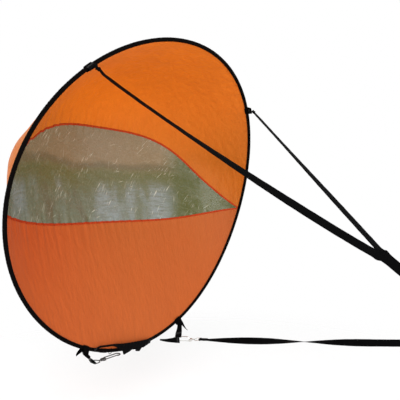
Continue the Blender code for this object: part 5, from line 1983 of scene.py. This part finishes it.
@dataclass
class SnapHook:
    """One snap hook: wire body with its barrel, sprung gate, swivelling eye."""

    label: str
    frame: Matrix
    eye_frame: Matrix
    bodies: tuple[str, str, str]
    wardrobe: Wardrobe
    sizes: HookSizes = field(default_factory=HookSizes)
    plating: str = "bright_plating"

    def body_path(self) -> list[Vector]:
        """The bent wire's line in the hook's frame.

        Returns:
            The points of the line.
        """
        s = self.sizes
        turned = s.barrel_length + s.half_width
        lead = [Vector((0.0, 0.0, s.barrel_length * 0.75)),
                Vector((-s.wire * 0.5, 0.0, s.barrel_length + s.wire)),
                Vector((-s.half_width, 0.0, turned - s.wire)),
                Vector((-s.half_width, 0.0, s.bow_height))]
        path = rounded(lead, (0.0, 0.0016, 0.0042, 0.0), 8)
        steps = 28
        for number in range(1, steps + 1):
            turn = math.pi * (1 - number / steps)
            path.append(Vector((s.half_width * math.cos(turn), 0.0,
                                s.bow_height + s.half_width * math.sin(turn))))
        path.append(Vector((s.half_width, 0.0, s.bow_height - s.nose * 0.55)))
        path.append(Vector((s.half_width, 0.0, s.bow_height - s.nose)))
        return path

    def pin_frame(self) -> Matrix:
        """Frame of the gate's pin, with Z along it."""
        place = Matrix.Translation(Vector((self.sizes.gate_out, 0.0, self.sizes.pin_height)))
        return self.frame @ place @ Matrix.Rotation(-math.pi / 2, 4, "X")

    def plate(self, draft: Draft, low: Vector, high: Vector, ease: float) -> None:
        """Adds a small plate with rounded outer corners.

        Args:
            draft: Where it goes.
            low: Its lowest corner in the hook's frame.
            high: Its highest corner.
            ease: Radius of its outer corners.
        """
        outline = []
        for x, z, start in ((low.x, low.z, math.pi), (high.x, low.z, 1.5 * math.pi),
                            (high.x, high.z, 0.0), (low.x, high.z, math.pi / 2)):
            centre_x = x + (ease if x == low.x else -ease)
            centre_z = z + (ease if z == low.z else -ease)
            for number in range(5):
                turn = start + math.pi / 2 * number / 4
                outline.append((centre_x + ease * math.cos(turn), centre_z + ease * math.sin(turn)))
        rings = []
        bevel = 0.0002
        for y, inset in ((low.y, bevel), (low.y + bevel, 0.0), (high.y - bevel, 0.0), (high.y, bevel)):
            middle = Vector(((low.x + high.x) / 2, y, (low.z + high.z) / 2))
            ring = []
            for x, z in outline:
                spot = Vector((x, y, z))
                ring.append(self.frame @ (spot + unit(middle - spot) * inset))
            rings.append(ring)
        around = [number * 0.001 for number in range(len(outline) + 1)]
        draft.rings(rings, around, [0.0, 0.001, 0.002, 0.003])

    def build_body(self) -> None:
        """The wire with its nose, the barrel, the lugs and the gate's pin."""
        s = self.sizes
        draft = Draft()
        path = [self.frame @ point for point in self.body_path()]
        normal = axes(self.frame)[1]
        last = len(path) - 1

        def radius(share: float) -> float:
            """The wire's radius, which swells and then rounds off at the nose."""
            near_tip = (1 - share) * last
            return s.wire * (0.62 + 0.38 * smooth(near_tip / 1.5)) * (1 + 0.10 * smooth(1 - near_tip / 5))

        draft.tube(path, radius, 18, normal=normal)
        top = s.barrel_length
        r = s.barrel_radius
        inner = s.stem + s.clear
        draft.lathe(
            [(inner, 0.0004), (inner + 0.0003, 0.0), (r - 0.0007, 0.0), (r - 0.0002, 0.0002), (r, 0.0007),
             (r, 0.0022), (r - 0.0004, 0.0025), (r - 0.0004, 0.0031), (r, 0.0034), (r, top - 0.0026),
             (r - 0.0003, top - 0.0014), (r - 0.0010, top - 0.0006), (s.wire + 0.0010, top - 0.0001),
             (s.wire + 0.0003, top + 0.0004), (s.wire * 0.7, top + 0.0006)],
            36, self.frame,
        )
        slot = s.gate_width / 2 + s.clear
        for side in (-1, 1):
            near, far = sorted((side * slot, side * (slot + s.lug)))
            self.plate(draft, Vector((s.wire * 0.6, near, top * 0.55)),
                       Vector((s.gate_out + s.pin + s.lug, far, s.pin_height + s.pin + s.lug)), 0.0020)
        place = self.pin_frame()
        half = slot + s.lug
        draft.lathe([(0.0002, -half - 0.0007), (0.0011, -half - 0.0006), (0.0017, -half - 0.0002),
                     (0.0018, -half), (s.pin, -half + 0.0001), (s.pin, half - 0.0001), (0.0018, half),
                     (0.0017, half + 0.0002), (0.0011, half + 0.0006), (0.0002, half + 0.0007)], 20, place)
        self.finish(draft, "body", self.bodies[0])

    def build_gate(self) -> None:
        """The sprung gate: a folded strip with a knuckle at its foot and a thumb notch."""
        s = self.sizes
        draft = Draft()
        half = s.gate_thickness / 2
        side = s.gate_width / 2 - s.clear
        low = s.pin_height + 0.0012
        rings, along = [], []
        steps = 22
        for number in range(steps + 1):
            share = number / steps
            z = low + (s.bow_height - low) * share
            dip = 0.0006 * math.exp(-((share - 0.80) / 0.06) ** 2)
            wide = side * (1.0 - 0.18 * smooth((share - 0.86) / 0.14) - 0.10 * smooth((0.10 - share) / 0.1))
            thick = half * (1.0 - 0.25 * smooth((share - 0.90) / 0.10))
            ring = []
            for x, y in ((thick - 0.0004, wide), (thick, wide - 0.0004), (thick, 0.0004 - wide),
                         (thick - 0.0004, -wide), (0.0004 - thick, -wide), (-thick + dip, -wide * 0.5),
                         (-thick + dip, wide * 0.5), (0.0004 - thick, wide)):
                ring.append(self.frame @ Vector((s.gate_out + x, y, z)))
            rings.append(ring)
            along.append(z)
        around = [number * 0.001 for number in range(9)]
        draft.rings(rings, around, along + [0.0])
        place = self.pin_frame()
        w = s.gate_width / 2
        bore = s.pin + s.clear
        profile = [(bore, -w), (s.knuckle - 0.0003, -w), (s.knuckle, -w + 0.0003), (s.knuckle, w - 0.0003),
                   (s.knuckle - 0.0003, w), (bore, w)]
        sides = 24
        round_about = [TURN * n / sides for n in range(sides)]
        knuckle = [[place @ Vector((radius * math.cos(turn), radius * math.sin(turn), h))
                    for turn in round_about] for radius, h in profile]
        draft.rings(knuckle, [n * 0.0006 for n in range(sides + 1)], [n * 0.001 for n in range(7)], True)
        self.finish(draft, "gate", self.bodies[1])

    def build_eye(self) -> None:
        """The swivelling eye: a bent ring on a headed stem."""
        s = self.sizes
        draft = Draft()
        shoulder = s.eye_half - s.eye_wire * 0.5
        low = -s.eye_length
        corners = [Vector((0.0, 0.0, -s.eye_neck)), Vector((0.0, shoulder, -s.eye_shoulder)),
                   Vector((0.0, s.eye_half, -s.eye_shoulder - 0.006)), Vector((0.0, s.eye_half, low)),
                   Vector((0.0, -s.eye_half, low)), Vector((0.0, -s.eye_half, -s.eye_shoulder - 0.006)),
                   Vector((0.0, -shoulder, -s.eye_shoulder))]
        path = rounded(corners, (0.0040, 0.0038, 0.0020, 0.0026, 0.0026, 0.0020, 0.0038), 6, True)
        normal = axes(self.eye_frame)[0]
        draft.tube([self.eye_frame @ point for point in path], s.eye_wire, 16, True, normal=normal)
        r, neck = s.stem, -s.eye_neck
        draft.lathe([(0.0002, neck - 0.0008), (r * 1.25, neck - 0.0004), (r * 1.35, neck + 0.001),
                     (r * 1.05, neck + 0.0024), (r, neck + 0.0032), (r, 0.0019),
                     (0.0029, 0.0019), (0.0029, 0.0044), (0.0024, 0.0047), (0.0002, 0.0047)],
                    24, self.eye_frame)
        self.finish(draft, "eye", self.bodies[2])

    def finish(self, draft: Draft, part: str, body: str) -> None:
        """Makes one of the hook's pieces."""
        self.wardrobe.make(draft, f"{self.label}_snap_{part}", f"{self.label}_hook_{part}",
                           "nickel_hook", body, [self.plating], 40.0)

    def build(self) -> None:
        """Makes the hook's three pieces."""
        self.build_body()
        self.build_gate()
        self.build_eye()


@dataclass
class FootTackle:
    """Lower tabs with their drops, the three hooks and the foot strap."""

    sail: Sail
    wardrobe: Wardrobe
    right_bar: Vector = field(default_factory=lambda: Vector((0.2500, -0.1016, -0.0113)))
    left_bar: Vector = field(default_factory=lambda: Vector((-0.2085, -0.0270, 0.0080)))
    left_nose: Vector = field(default_factory=lambda: Vector((-0.0955, -0.0265, 0.0078)))
    foot_end: Vector = field(default_factory=lambda: Vector((0.5421, -0.8352, 0.0498)))
    grip_share: float = 0.80
    twist: float = math.radians(270.0)
    twist_end: float = 0.86
    twist_ease: float = 0.20
    overlap: float = 0.030
    ply_gap: float = 0.0004
    hook: HookSizes = field(default_factory=HookSizes)

    def __post_init__(self) -> None:
        """Finds the hooks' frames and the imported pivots."""
        self.foot_way = unit(self.foot_end - self.right_bar)
        eye = self.hook.eye_length
        self.right_frame = hook_frame(self.right_bar, self.right_bar - self.foot_way, -UP, eye)
        self.left_eye = hook_frame(self.left_bar, self.left_nose, UP, eye)
        self.left_frame = hook_frame(self.left_bar, self.left_nose, Vector((0.0, -1.0, 0.0)), eye)
        far_bow = self.foot_end + self.foot_way * self.hook.reach
        self.near_across = square_to(axes(self.right_frame)[1], self.foot_way)
        far_across = Matrix.Rotation(self.twist, 3, self.foot_way) @ self.near_across
        self.far_frame = hook_frame(self.foot_end, far_bow, far_across, eye)
        side = axes(self.far_frame)[0]
        self.far_eye = hook_frame(self.foot_end, far_bow, side.cross(unit(far_bow - self.foot_end)), eye)
        self.right_pivot, _ = joint_place("right_drop_swing")
        self.left_pivot, _ = joint_place("left_drop_swing")

    def grip(self) -> Vector:
        """Where the right drop holds the hook's wire."""
        height = self.hook.reach * self.grip_share - self.hook.eye_length
        return self.right_frame @ Vector((-self.hook.half_width, 0.0, height))

    def fold_line(self, angle: float, target: Vector, pivot: Vector) -> Vector:
        """Where a lower tab's own fold is, just above its drop's pivot.

        Args:
            angle: Where the tab is on the rim.
            target: Centre of the bar in the drop's lower end.
            pivot: Centre of the drop's upper fold.

        Returns:
            Centre of the tab's fold.
        """
        centre, way, _, _, _ = self.sail.rim_frame(angle)
        ahead = square_to(target - centre, way)
        tab_fold = (SIZES.fold + SIZES.clear + SIZES.thickness / 2) / math.cos(math.radians(15))
        drop_fold = (SIZES.fold + SIZES.thickness / 2) / math.cos(math.radians(22.5))
        return pivot - ahead * (tab_fold + SIZES.thickness + SIZES.clear + drop_fold)

    def drop_stations(self, pivot: Vector, pivot_axis: Vector, target: Vector, bar_axis: Vector,
                      bar_radius: float) -> list[Station]:
        """Stations of a closed loop that hangs from a folding line and holds a bar.

        Args:
            pivot: Centre of its upper fold.
            pivot_axis: Direction of that fold.
            target: Centre of the bar.
            bar_axis: Direction of the bar.
            bar_radius: The bar's radius.

        Returns:
            The stations.
        """
        if bar_axis.dot(pivot_axis) < 0:
            bar_axis = -bar_axis
        toward = target - pivot
        top_ahead = square_to(toward, pivot_axis)
        top_aside = pivot_axis.cross(top_ahead)
        low_ahead = square_to(toward, bar_axis)
        low_aside = bar_axis.cross(low_ahead)
        quarter = math.pi / 2
        low_turns, low_out = arc_steps(quarter, -quarter, math.radians(30))
        top_turns, top_out = arc_steps(-quarter, -3 * quarter, math.radians(45))
        low_radius = (bar_radius + SIZES.clear + SIZES.thickness / 2) * low_out
        top_radius = (SIZES.fold + SIZES.thickness / 2) * top_out
        low = [target + swing(low_ahead, low_aside, turn) * low_radius for turn in low_turns]
        top = [pivot + swing(top_ahead, top_aside, turn) * top_radius for turn in top_turns]
        path = [(point, bar_axis) for point in low]
        path += [(low[-1].lerp(top[0], share), bar_axis.lerp(pivot_axis, smooth(share)))
                 for share in LEG_SHARES]
        path += [(point, pivot_axis) for point in top]
        path += [(top[-1].lerp(low[0], share), pivot_axis.lerp(bar_axis, smooth(share)))
                 for share in LEG_SHARES]
        return [SIZES.station(point, across) for point, across in path]

    def dress(self, name: str, body: str, run: Webbing,
              tacks: Sequence[tuple[int, float, int]] = ()) -> bpy.types.Object:
        """Makes a webbing piece with its stitches.

        Args:
            name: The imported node's name.
            body: The body that it moves with.
            run: The webbing.
            tacks: Fine station, length and rows of each stitch block.

        Returns:
            The piece.
        """
        draft = Draft()
        run.draft(draft)
        for index, length, rows in tacks:
            run.bartack(draft, index, length, rows)
        return self.wardrobe.make(draft, f"{name}_webbing", name, "black_webbing", body, WEBBING_FINISHES)

    def tab_and_drop(self, label: str, angle: float, pivot: Vector, target: Vector, bar_axis: Vector,
                     bar_radius: float) -> None:
        """One lower tab and the loop that hangs from it.

        Args:
            label: The word for its side.
            angle: Where the tab is on the rim.
            pivot: Centre of the drop's upper fold.
            target: Centre of the bar that the drop holds.
            bar_axis: Direction of that bar.
            bar_radius: Its radius.
        """
        _, way, _, _, _ = self.sail.rim_frame(angle)
        fold = self.fold_line(angle, target, pivot)
        tab = Webbing(rim_tab(self.sail, angle, fold, way, SIZES.fold), seed=23.0 + angle, spacing=0.0015)
        self.dress(f"lower_{label}_tab", "sail", tab)
        drop = Webbing(self.drop_stations(pivot, way, target, bar_axis, bar_radius), True, 0.0015,
                       29.0 + angle)
        drop.lay()
        legs = drop.near(target, bar_radius + 0.011, 0.0009)[:2]
        self.dress(f"lower_{label}_drop", f"{label}_drop", drop, [(index, 0.006, 5) for index in legs])

    def free_end(self, label: str, angle: float, run: Vector, length: float, side: int) -> None:
        """A free webbing end that lies on a tab's wrap and then leaves in its own direction.

        Args:
            label: The word for its side.
            angle: Where the tab is on the rim.
            run: Direction in which the end leaves.
            length: How far it reaches.
            side: Which way it goes round the rim.
        """
        centre, way, inward, back, _ = self.sail.rim_frame(angle)
        radius = self.sail.form.sleeve + 1.2 * MM + 3 * SIZES.thickness / 2
        leave = math.atan2(run.dot(back), run.dot(inward)) + side * math.pi / 2
        turns, let_out = arc_steps(leave + side * math.radians(34.0), leave)
        stations: list[Station] = []
        for turn in turns:
            stations.append(SIZES.station(centre + swing(inward, back, turn) * (radius * let_out), way))
        start = stations[-1][0]
        stop = start + unit(run) * length
        for number in range(1, 7):
            share = number / 6
            stations.append((eased(start, stop, way, share), way.lerp(unit(way + UP), smooth(share)),
                             SIZES.width * (1 - 0.8 * share), SIZES.thickness))
        self.dress(f"lower_{label}_end", "sail",
                   Webbing(stations, seed=31.0 + side, spacing=0.002, flutter=0.0006))

    def tail(self) -> None:
        """The long free end beside the right hook."""
        side, normal, ahead = axes(self.right_frame)
        out = self.hook.wire + 3 * SIZES.clear + 3 * SIZES.thickness / 2
        start = self.grip() + normal * out - ahead * (SIZES.width / 4) + side * (SIZES.width / 2)
        stop = start + ahead * 0.085
        stations: list[Station] = []
        for number in range(17):
            share = number / 16
            sag = side * (0.0035 * math.sin(math.pi * share) * share)
            stations.append((start.lerp(stop, share) + sag, side.lerp(side + normal, smooth(share)),
                             SIZES.width * (1 - 0.75 * share), SIZES.thickness))
        self.dress("lower_right_tail", "right_drop",
                   Webbing(stations, seed=37.0, spacing=0.002, flutter=0.0005), ((4, 0.006, 5),))

    def foot_strap(self) -> None:
        """The strap from the right hook's eye to the far hook's eye."""
        fold = self.hook.eye_wire + SIZES.clear + SIZES.thickness / 2
        ply = (SIZES.thickness + self.ply_gap) / 2
        way, near = self.foot_way, self.near_across
        near_side = way.cross(near)
        stations: list[Station] = []

        def add(point: Vector, across: Vector) -> None:
            """Adds one station."""
            stations.append(SIZES.station(point, across))

        add(self.right_bar + way * self.overlap - near_side * ply, near)
        add(self.right_bar + way * (2.2 * fold) - near_side * ply * 1.2, near)
        turns, let_out = arc_steps(-math.radians(70), math.radians(70) - TURN, math.radians(44))
        for turn in turns:
            add(self.right_bar + swing(way, near_side, turn) * (fold * let_out), near)
        add(self.right_bar + way * (2.2 * fold) + near_side * ply * 1.2, near)
        start = self.right_bar + way * self.overlap
        stop = self.foot_end - way * self.overlap
        steps = 72
        for number in range(steps + 1):
            share = number / steps
            done = min(share / self.twist_end, 1.0)
            turn = self.twist * ((1 - self.twist_ease) * done + self.twist_ease * smooth(done))
            across = Matrix.Rotation(turn, 3, way) @ near
            side = way.cross(across)
            sag = UP * (-0.003 * math.sin(math.pi * share))
            add(start.lerp(stop, share) + side * ply + sag, across)
        far = Matrix.Rotation(self.twist, 3, way) @ near
        far_side = way.cross(far)
        add(self.foot_end - way * (2.2 * fold) + far_side * ply * 1.2, far)
        for turn in turns:
            add(self.foot_end + swing(way, far_side, -(turn + math.pi)) * (fold * let_out), far)
        add(self.foot_end - way * (2.2 * fold) - far_side * ply * 1.2, far)
        add(self.foot_end - way * self.overlap - far_side * ply, far)
        run = Webbing(stations, seed=41.0, spacing=0.003, flutter=0.0003)
        run.lay()
        ends = [run.near(bar, 0.021, 0.0016) for bar in (self.right_bar, self.foot_end)]
        piece = self.dress("foot_strap", "foot_strap", run,
                           [(spots[len(spots) // 2], 0.012, 9) for spots in ends if spots])
        length = run.length()
        LOG.info("foot strap: %.3f m", length)

    def build(self) -> None:
        """Makes everything at the foot of the sail."""
        SnapHook("right", self.right_frame, self.right_frame,
                 ("right_hook", "right_gate", "right_eye"), self.wardrobe).build()
        # The left hook takes the painted-shade copy of the plating.
        SnapHook("left", self.left_frame, self.left_eye,
                 ("left_hook", "left_gate", "left_eye"), self.wardrobe,
                 plating="painted_shade_plating").build()
        SnapHook("far", self.far_frame, self.far_eye,
                 ("far_hook", "far_gate", "far_eye"), self.wardrobe).build()
        self.foot_strap()
        right_angle = math.pi - SIZES.lower_offset
        left_angle = math.pi + SIZES.lower_offset
        ahead = axes(self.right_frame)[2]
        self.tab_and_drop("right", right_angle, self.right_pivot, self.grip(), ahead, self.hook.wire)
        bar_axis = axes(self.left_eye)[1]
        self.tab_and_drop("left", left_angle, self.left_pivot, self.left_bar, bar_axis, self.hook.eye_wire)
        self.free_end("right", right_angle, Vector((0.10, -0.76, -0.64)), 0.060, 1)
        self.free_end("left", left_angle, Vector((-0.80, 0.00, -0.60)), 0.034, -1)
        self.tail()


@dataclass(frozen=True)
class BandFold:
    """Place and size of one hanging fold of the storage band."""

    angle: float
    width: float
    depth: float
    lean: float
    seed: float


@dataclass
class Rim:
    """The sleeve round the hoop, and the small pieces that sit on it."""

    sail: Sail
    wardrobe: Wardrobe
    stations: int = 1080
    pucker: float = 0.00022
    row_turn: float = math.radians(38)
    row_lift: float = 0.06
    cuff_angle: float = math.radians(196.0)
    cuff_slit: float = math.radians(24)
    cuff_sweep: float = 0.060
    cuff_length: float = 0.032
    band_width: float = 0.022
    band_thickness: float = 0.0012
    band_left: float = math.radians(-158.5)
    band_right: float = math.radians(172.5)
    band_bow: float = 0.0045
    band_opens: tuple[float, float] = (0.28, 0.26)
    band_closes: tuple[float, float] = (0.88, 0.12)
    band_rise: float = 0.0110
    band_sag: float = 0.0050
    band_end: float = math.radians(-174.7)
    park: float = math.radians(-167.6)
    park_cord: float = 0.0012
    park_drop: float = 0.0040

    def sleeve(self) -> None:
        """The bound edge: a slit tube with gathers and two rows of stitches."""
        form = self.sail.form
        draft = Draft()
        slit = form.cloth / 2 + 0.3 * MM
        rings, along = [], [0.0]
        outer_points, inner_points = 18, 10
        line: list[tuple[Vector, Vector, Vector]] = []
        length, before = 0.0, None
        for number in range(self.stations):
            angle = TURN * number / self.stations
            centre, way, _, _, skin = self.sail.rim_frame(angle)
            side = way.cross(skin)
            lump = 1 + 0.030 * ripple(angle * 4.0, 51.0) + 0.022 * ripple(angle * 23.0, 53.0)
            radius = form.sleeve * lump
            start = math.asin(slit / radius)
            ring = []
            for point in range(outer_points):
                turn = start + (TURN - 2 * start) * point / (outer_points - 1)
                level, height = math.cos(turn), math.sin(turn)
                pucker = self.pucker * math.sin(number * 1.9 + 2.0 * height) * (0.4 + 0.6 * abs(height))
                ring.append(centre + (skin * level * (1 + 0.02 * level) + side * height) * (radius + pucker))
            inner_start = math.asin(slit / form.cavity)
            for point in range(inner_points):
                turn = inner_start + (TURN - 2 * inner_start) * point / (inner_points - 1)
                ring.append(centre + (skin * math.cos(turn) - side * math.sin(turn)) * form.cavity)
            rings.append(ring)
            if before is not None:
                length += (centre - before).length
                along.append(length)
            before = centre
            turn = self.row_turn
            lift = [unit(skin * math.cos(turn) + side * (math.sin(turn) * sign)) for sign in (1, -1)]
            spots = [centre + way_out * (radius * (1 + self.row_lift * math.cos(turn))) for way_out in lift]
            line.append((spots[0], spots[1], lift[0], lift[1]))
        along.append(length + (self.sail.rim_frame(0.0)[0] - before).length)
        around = [TURN * form.sleeve * point / outer_points for point in range(outer_points)]
        around += [0.03 - 0.003 * point for point in range(inner_points)] + [0.0]
        draft.rings(rings, around, along, True)
        count = len(line)
        for row in (0, 1):
            for number in range(count):
                first, second = line[number][row], line[(number + 1) % count][row]
                gap = (second - first) * 0.14
                draft.stitch(first + gap, second - gap, line[number][2 + row], 0.24 * MM, THREAD_SLOT)
        self.wardrobe.make(draft, "rim_sleeve", "rim_binding", "black_binding", "sail",
                           ("rim_fabric", "black_thread"), 60.0)

    def join_cuff(self) -> None:
        """The overlap where the two ends of the sleeve are sewn together."""
        form = self.sail.form
        slit = self.cuff_slit
        turns = [slit + (TURN - 2 * slit) * corner / 17 for corner in range(18)]
        draft = Draft()
        rings, along = [], []
        for number in range(15):
            share = number / 14
            spot_angle = self.cuff_angle + (share - 0.5) * self.cuff_sweep
            centre, way, _, _, skin = self.sail.rim_frame(spot_angle)
            side = way.cross(skin)
            lift = 0.0007 * smooth(min(share, 1 - share) / 0.12)
            ring = []
            for radius, order in ((form.sleeve + 0.0002 + lift, turns), (form.sleeve - 0.0006, turns[::-1])):
                ring += [centre + (skin * math.cos(turn) * 1.02 + side * math.sin(turn)) * radius
                         for turn in order]
            rings.append(ring)
            along.append(share * self.cuff_length)
        draft.rings(rings, [n * 0.002 for n in range(37)], along + [0.0])
        self.wardrobe.make(draft, "rim_sleeve_cuff", None, "black_binding", "sail", ("rim_fabric",))

    def storage_band(self) -> None:
        """The elastic band that holds the folded sail, gathered along its length."""
        left = self.sail.rim_frame(self.band_left)
        right = self.sail.rim_frame(self.band_right)
        out = self.sail.form.sleeve + 0.6 * MM + self.band_thickness / 2
        start = left[0] - left[3] * out
        stop = right[0] - right[3] * out
        run = unit(stop - start)
        flat = square_to(left[2], run)
        edge = run.cross(flat)
        edge_back = edge if edge.dot(left[3]) > 0 else -edge
        stations: list[Station] = []
        steps = 130
        for number in range(steps + 1):
            share = number / steps
            full = smooth((share - self.band_opens[0]) / self.band_opens[1])
            shut = smooth((share - self.band_closes[0]) / self.band_closes[1])
            width = self.band_width * (0.34 + 1.08 * full - 0.60 * shut)
            width *= 1 + 0.03 * math.sin(number * 1.7)
            thickness = self.band_thickness * (1 + 1.2 * (1 - full))
            rise = self.band_rise * smooth(share / 0.10) * (1 - full)
            rise -= self.band_sag * full * (1 - smooth((share - 0.86) / 0.14))
            forward = 0.0012 + self.band_bow * math.sin(math.pi * share)
            centre = start.lerp(stop, share) - edge_back * forward + flat * rise
            across = square_to(flat + run * (0.25 * full * math.sin(share * 9.0)), run)
            centre = centre + edge_back * (0.0006 * math.sin(number * 0.8) * full)
            stations.append((centre, across, width, thickness))
        run_band = Webbing(stations, seed=61.0, spacing=0.0022, flutter=0.0002)
        draft = Draft()
        run_band.draft(draft)
        for index in (4, len(run_band.frames) - 5):
            run_band.bartack(draft, index, 0.010, rows=6, share=0.8)
        self.wardrobe.make(draft, "storage_band_elastic", "storage_band", "black_elastic", "sail",
                           ELASTIC_FINISHES)

    def band_fold(self) -> None:
        """The band's sewn end, wrapped on the rim."""
        centre, way, inward, back, _ = self.sail.rim_frame(self.band_end)
        radius = self.sail.form.sleeve + 0.7 * MM + self.band_thickness / 2
        turns, let_out = arc_steps(math.radians(200), math.radians(300), math.radians(12))
        stations: list[Station] = []
        for turn in turns:
            spot = centre + swing(inward, back, turn) * (radius * let_out)
            stations.append((spot, way, self.band_width, self.band_thickness))
        run = Webbing(stations, seed=67.0, spacing=0.001, flutter=0.0002)
        draft = Draft()
        run.draft(draft)
        run.bartack(draft, len(run.frames) // 2, 0.006, rows=5, share=0.8)
        self.wardrobe.make(draft, "storage_band_tuck", "storage_band_end", "black_elastic", "sail",
                           ELASTIC_FINISHES)

    def band_folds(self) -> None:
        """Two folds of the gathered elastic, which hang under the rim."""
        draft = Draft()
        for spec in (BandFold(math.radians(-174.9), 0.043, 0.0145, -0.009, 71.0),
                     BandFold(math.radians(178.3), 0.029, 0.0215, 0.005, 73.0)):
            centre, way, inward, back, _ = self.sail.rim_frame(spec.angle)
            front = self.sail.form.sleeve + 2.2 * MM + self.band_thickness
            line = [(front, 0.004), (front, -0.006), (front - 0.001, -spec.depth + 0.004)]
            line += [(front - 0.0032, -spec.depth), (front - 0.0064, -spec.depth + 0.0035)]
            line += [(front - 0.0066, -self.sail.form.sleeve - 0.004)]
            stations: list[Station] = []
            for ahead, up in line:
                share = smooth(-up / spec.depth)
                spot = centre - back * ahead + inward * up + way * (spec.lean * share)
                across = unit(way + inward * (0.35 * share * math.copysign(1.0, spec.lean)))
                stations.append((spot, across, spec.width * (1 - 0.30 * share), self.band_thickness))
            Webbing(stations, seed=spec.seed, spacing=0.0012, flutter=0.0005).draft(draft)
        self.wardrobe.make(draft, "storage_band_folds", None, "black_elastic", "sail", ELASTIC_FINISHES)

    def parking_loop(self) -> None:
        """The thin cord loop that parks the left hook."""
        centre, way, inward, back, skin = self.sail.rim_frame(self.park)
        radius = self.sail.form.sleeve + 0.6 * MM + self.park_cord
        slit = math.atan2(skin.dot(back), skin.dot(inward)) % TURN
        margin = math.radians(19.6)
        turns, _ = arc_steps(slit + margin, slit + TURN - margin, math.radians(6))
        path = []
        for turn in turns:
            drop = -inward * (self.park_drop * max(0.0, -math.cos(turn)) ** 2)
            path.append(centre + swing(inward, back, turn) * radius + drop)
        draft = Draft()
        draft.tube(path, self.park_cord * 0.9, 12, normal=way)
        self.wardrobe.make(draft, "parking_loop_cord", "parking_loop", "black_webbing", "sail",
                           ("shock_elastic",))

    def build(self) -> None:
        """Makes the rim's pieces."""
        self.sleeve()
        self.join_cuff()
        self.storage_band()
        self.band_fold()
        self.band_folds()
        self.parking_loop()
        for name in ("hoop", "hoop_ferrule"):
            node = frame["nodes"][name]
            node.data.materials.clear()
            node.data.materials.append(self.wardrobe.made["spring_band"])


@dataclass
class Studio:
    """Camera, soft light and a pale floor."""

    effects: Effects
    camera_place: Vector = field(default_factory=lambda: Vector((-1.1249, -1.2336, 0.5403)))
    heading: float = -50.56
    lens: float = 40.5
    floor_height: float = -0.34
    floor_reach: float = 2.6

    def camera(self) -> None:
        """The camera at the photograph's viewing angle."""
        data = bpy.data.cameras.new("camera")
        data.lens = self.lens
        data.sensor_width = 36.0
        data.clip_end = 50.0
        made = bpy.data.objects.new("camera", data)
        made.location = self.camera_place
        made.rotation_euler = (math.radians(90), 0.0, math.radians(self.heading))
        bpy.context.scene.collection.objects.link(made)
        bpy.context.scene.camera = made

    def floor(self) -> None:
        """A pale floor that fades into the white background."""
        draft = Draft()
        centre = Vector((0.0, -0.25, self.floor_height))
        steps, sides = 12, 64
        draft.points.append(centre)
        for step in range(1, steps + 1):
            out = self.floor_reach * step / steps
            for corner in range(sides):
                turn = TURN * corner / sides
                draft.points.append(centre + Vector((math.cos(turn), math.sin(turn), 0.0)) * out)
        blank = ((0.0, 0.0),) * 4
        for corner in range(sides):
            after = (corner + 1) % sides
            draft.face((0, 1 + corner, 1 + after), blank)
            for step in range(steps - 1):
                here, there = 1 + step * sides, 1 + (step + 1) * sides
                draft.face((here + corner, there + corner, there + after, here + after), blank)
        finish = FloorFinish("floor", (0.90, 0.90, 0.90), 0.9, tuple(centre))
        piece = draft.build("floor", [finish.build(self.effects)])

    def area(self, name: str, place: Vector, target: Vector, size: float, power: float,
             color: Color = (1.0, 1.0, 1.0)) -> None:
        """A soft square lamp that faces a point.

        Args:
            name: Its name.
            place: Where it is.
            target: The point that it faces.
            size: Its width.
            power: Its power in watts.
            color: Its colour.
        """
        data = bpy.data.lights.new(name, "AREA")
        data.shape = "SQUARE"
        data.size = size
        data.energy = power
        data.color = color
        made = bpy.data.objects.new(name, data)
        made.location = place
        made.rotation_mode = "QUATERNION"
        made.rotation_quaternion = (target - place).to_track_quat("-Z", "Y")
        bpy.context.scene.collection.objects.link(made)

    def light(self) -> None:
        """Soft light and a white background."""
        world = bpy.data.worlds.new("studio")
        bpy.context.scene.world = world
        world.use_nodes = True
        tree = world.node_tree
        tree.nodes.clear()
        wire = Wiring(tree)
        path = wire.node("ShaderNodeLightPath")
        seen = wire.math("MAXIMUM", path.outputs["Is Camera Ray"],
                         wire.math("MAXIMUM", path.outputs["Is Glossy Ray"],
                                   path.outputs["Is Transmission Ray"]))
        strength = wire.remap(seen, 0.0, 1.0, 0.85, 1.0)
        back = wire.node("ShaderNodeBackground", {"Color": (1.0, 1.0, 1.0, 1.0), "Strength": strength})
        out = wire.node("ShaderNodeOutputWorld")
        wire.put(out.inputs[0], back.outputs[0])
        middle = Vector((0.0, -0.1, 0.5))
        self.area("key_lamp", Vector((-2.4, -2.6, 1.5)), middle, 2.4, 92.0)
        self.area("low_lamp", Vector((-1.2, -2.4, -0.1)), middle + UP * 0.4, 1.8, 34.0)
        self.area("fill_lamp", Vector((1.6, -2.8, 1.2)), middle, 2.4, 16.0)
        self.area("back_lamp", Vector((-1.8, 2.4, 1.8)), middle, 2.2, 34.0)

    def build(self) -> None:
        """Sets up camera, floor and light."""
        self.camera()
        self.floor()
        self.light()
        bpy.context.scene.view_settings.view_transform = "Standard"


def main() -> None:
    """Builds the sail piece by piece."""
    logging.basicConfig(level=logging.INFO, format="%(message)s")
    wardrobe = Wardrobe()
    wardrobe.stock()
    sail = Sail(SailForm())
    Bridle(sail, wardrobe).build()
    FootTackle(sail, wardrobe).build()
    SailSkin(sail, wardrobe).build()
    Rim(sail, wardrobe).build()
    Studio(wardrobe.effects).build()


if __name__ == "__main__":
    main()
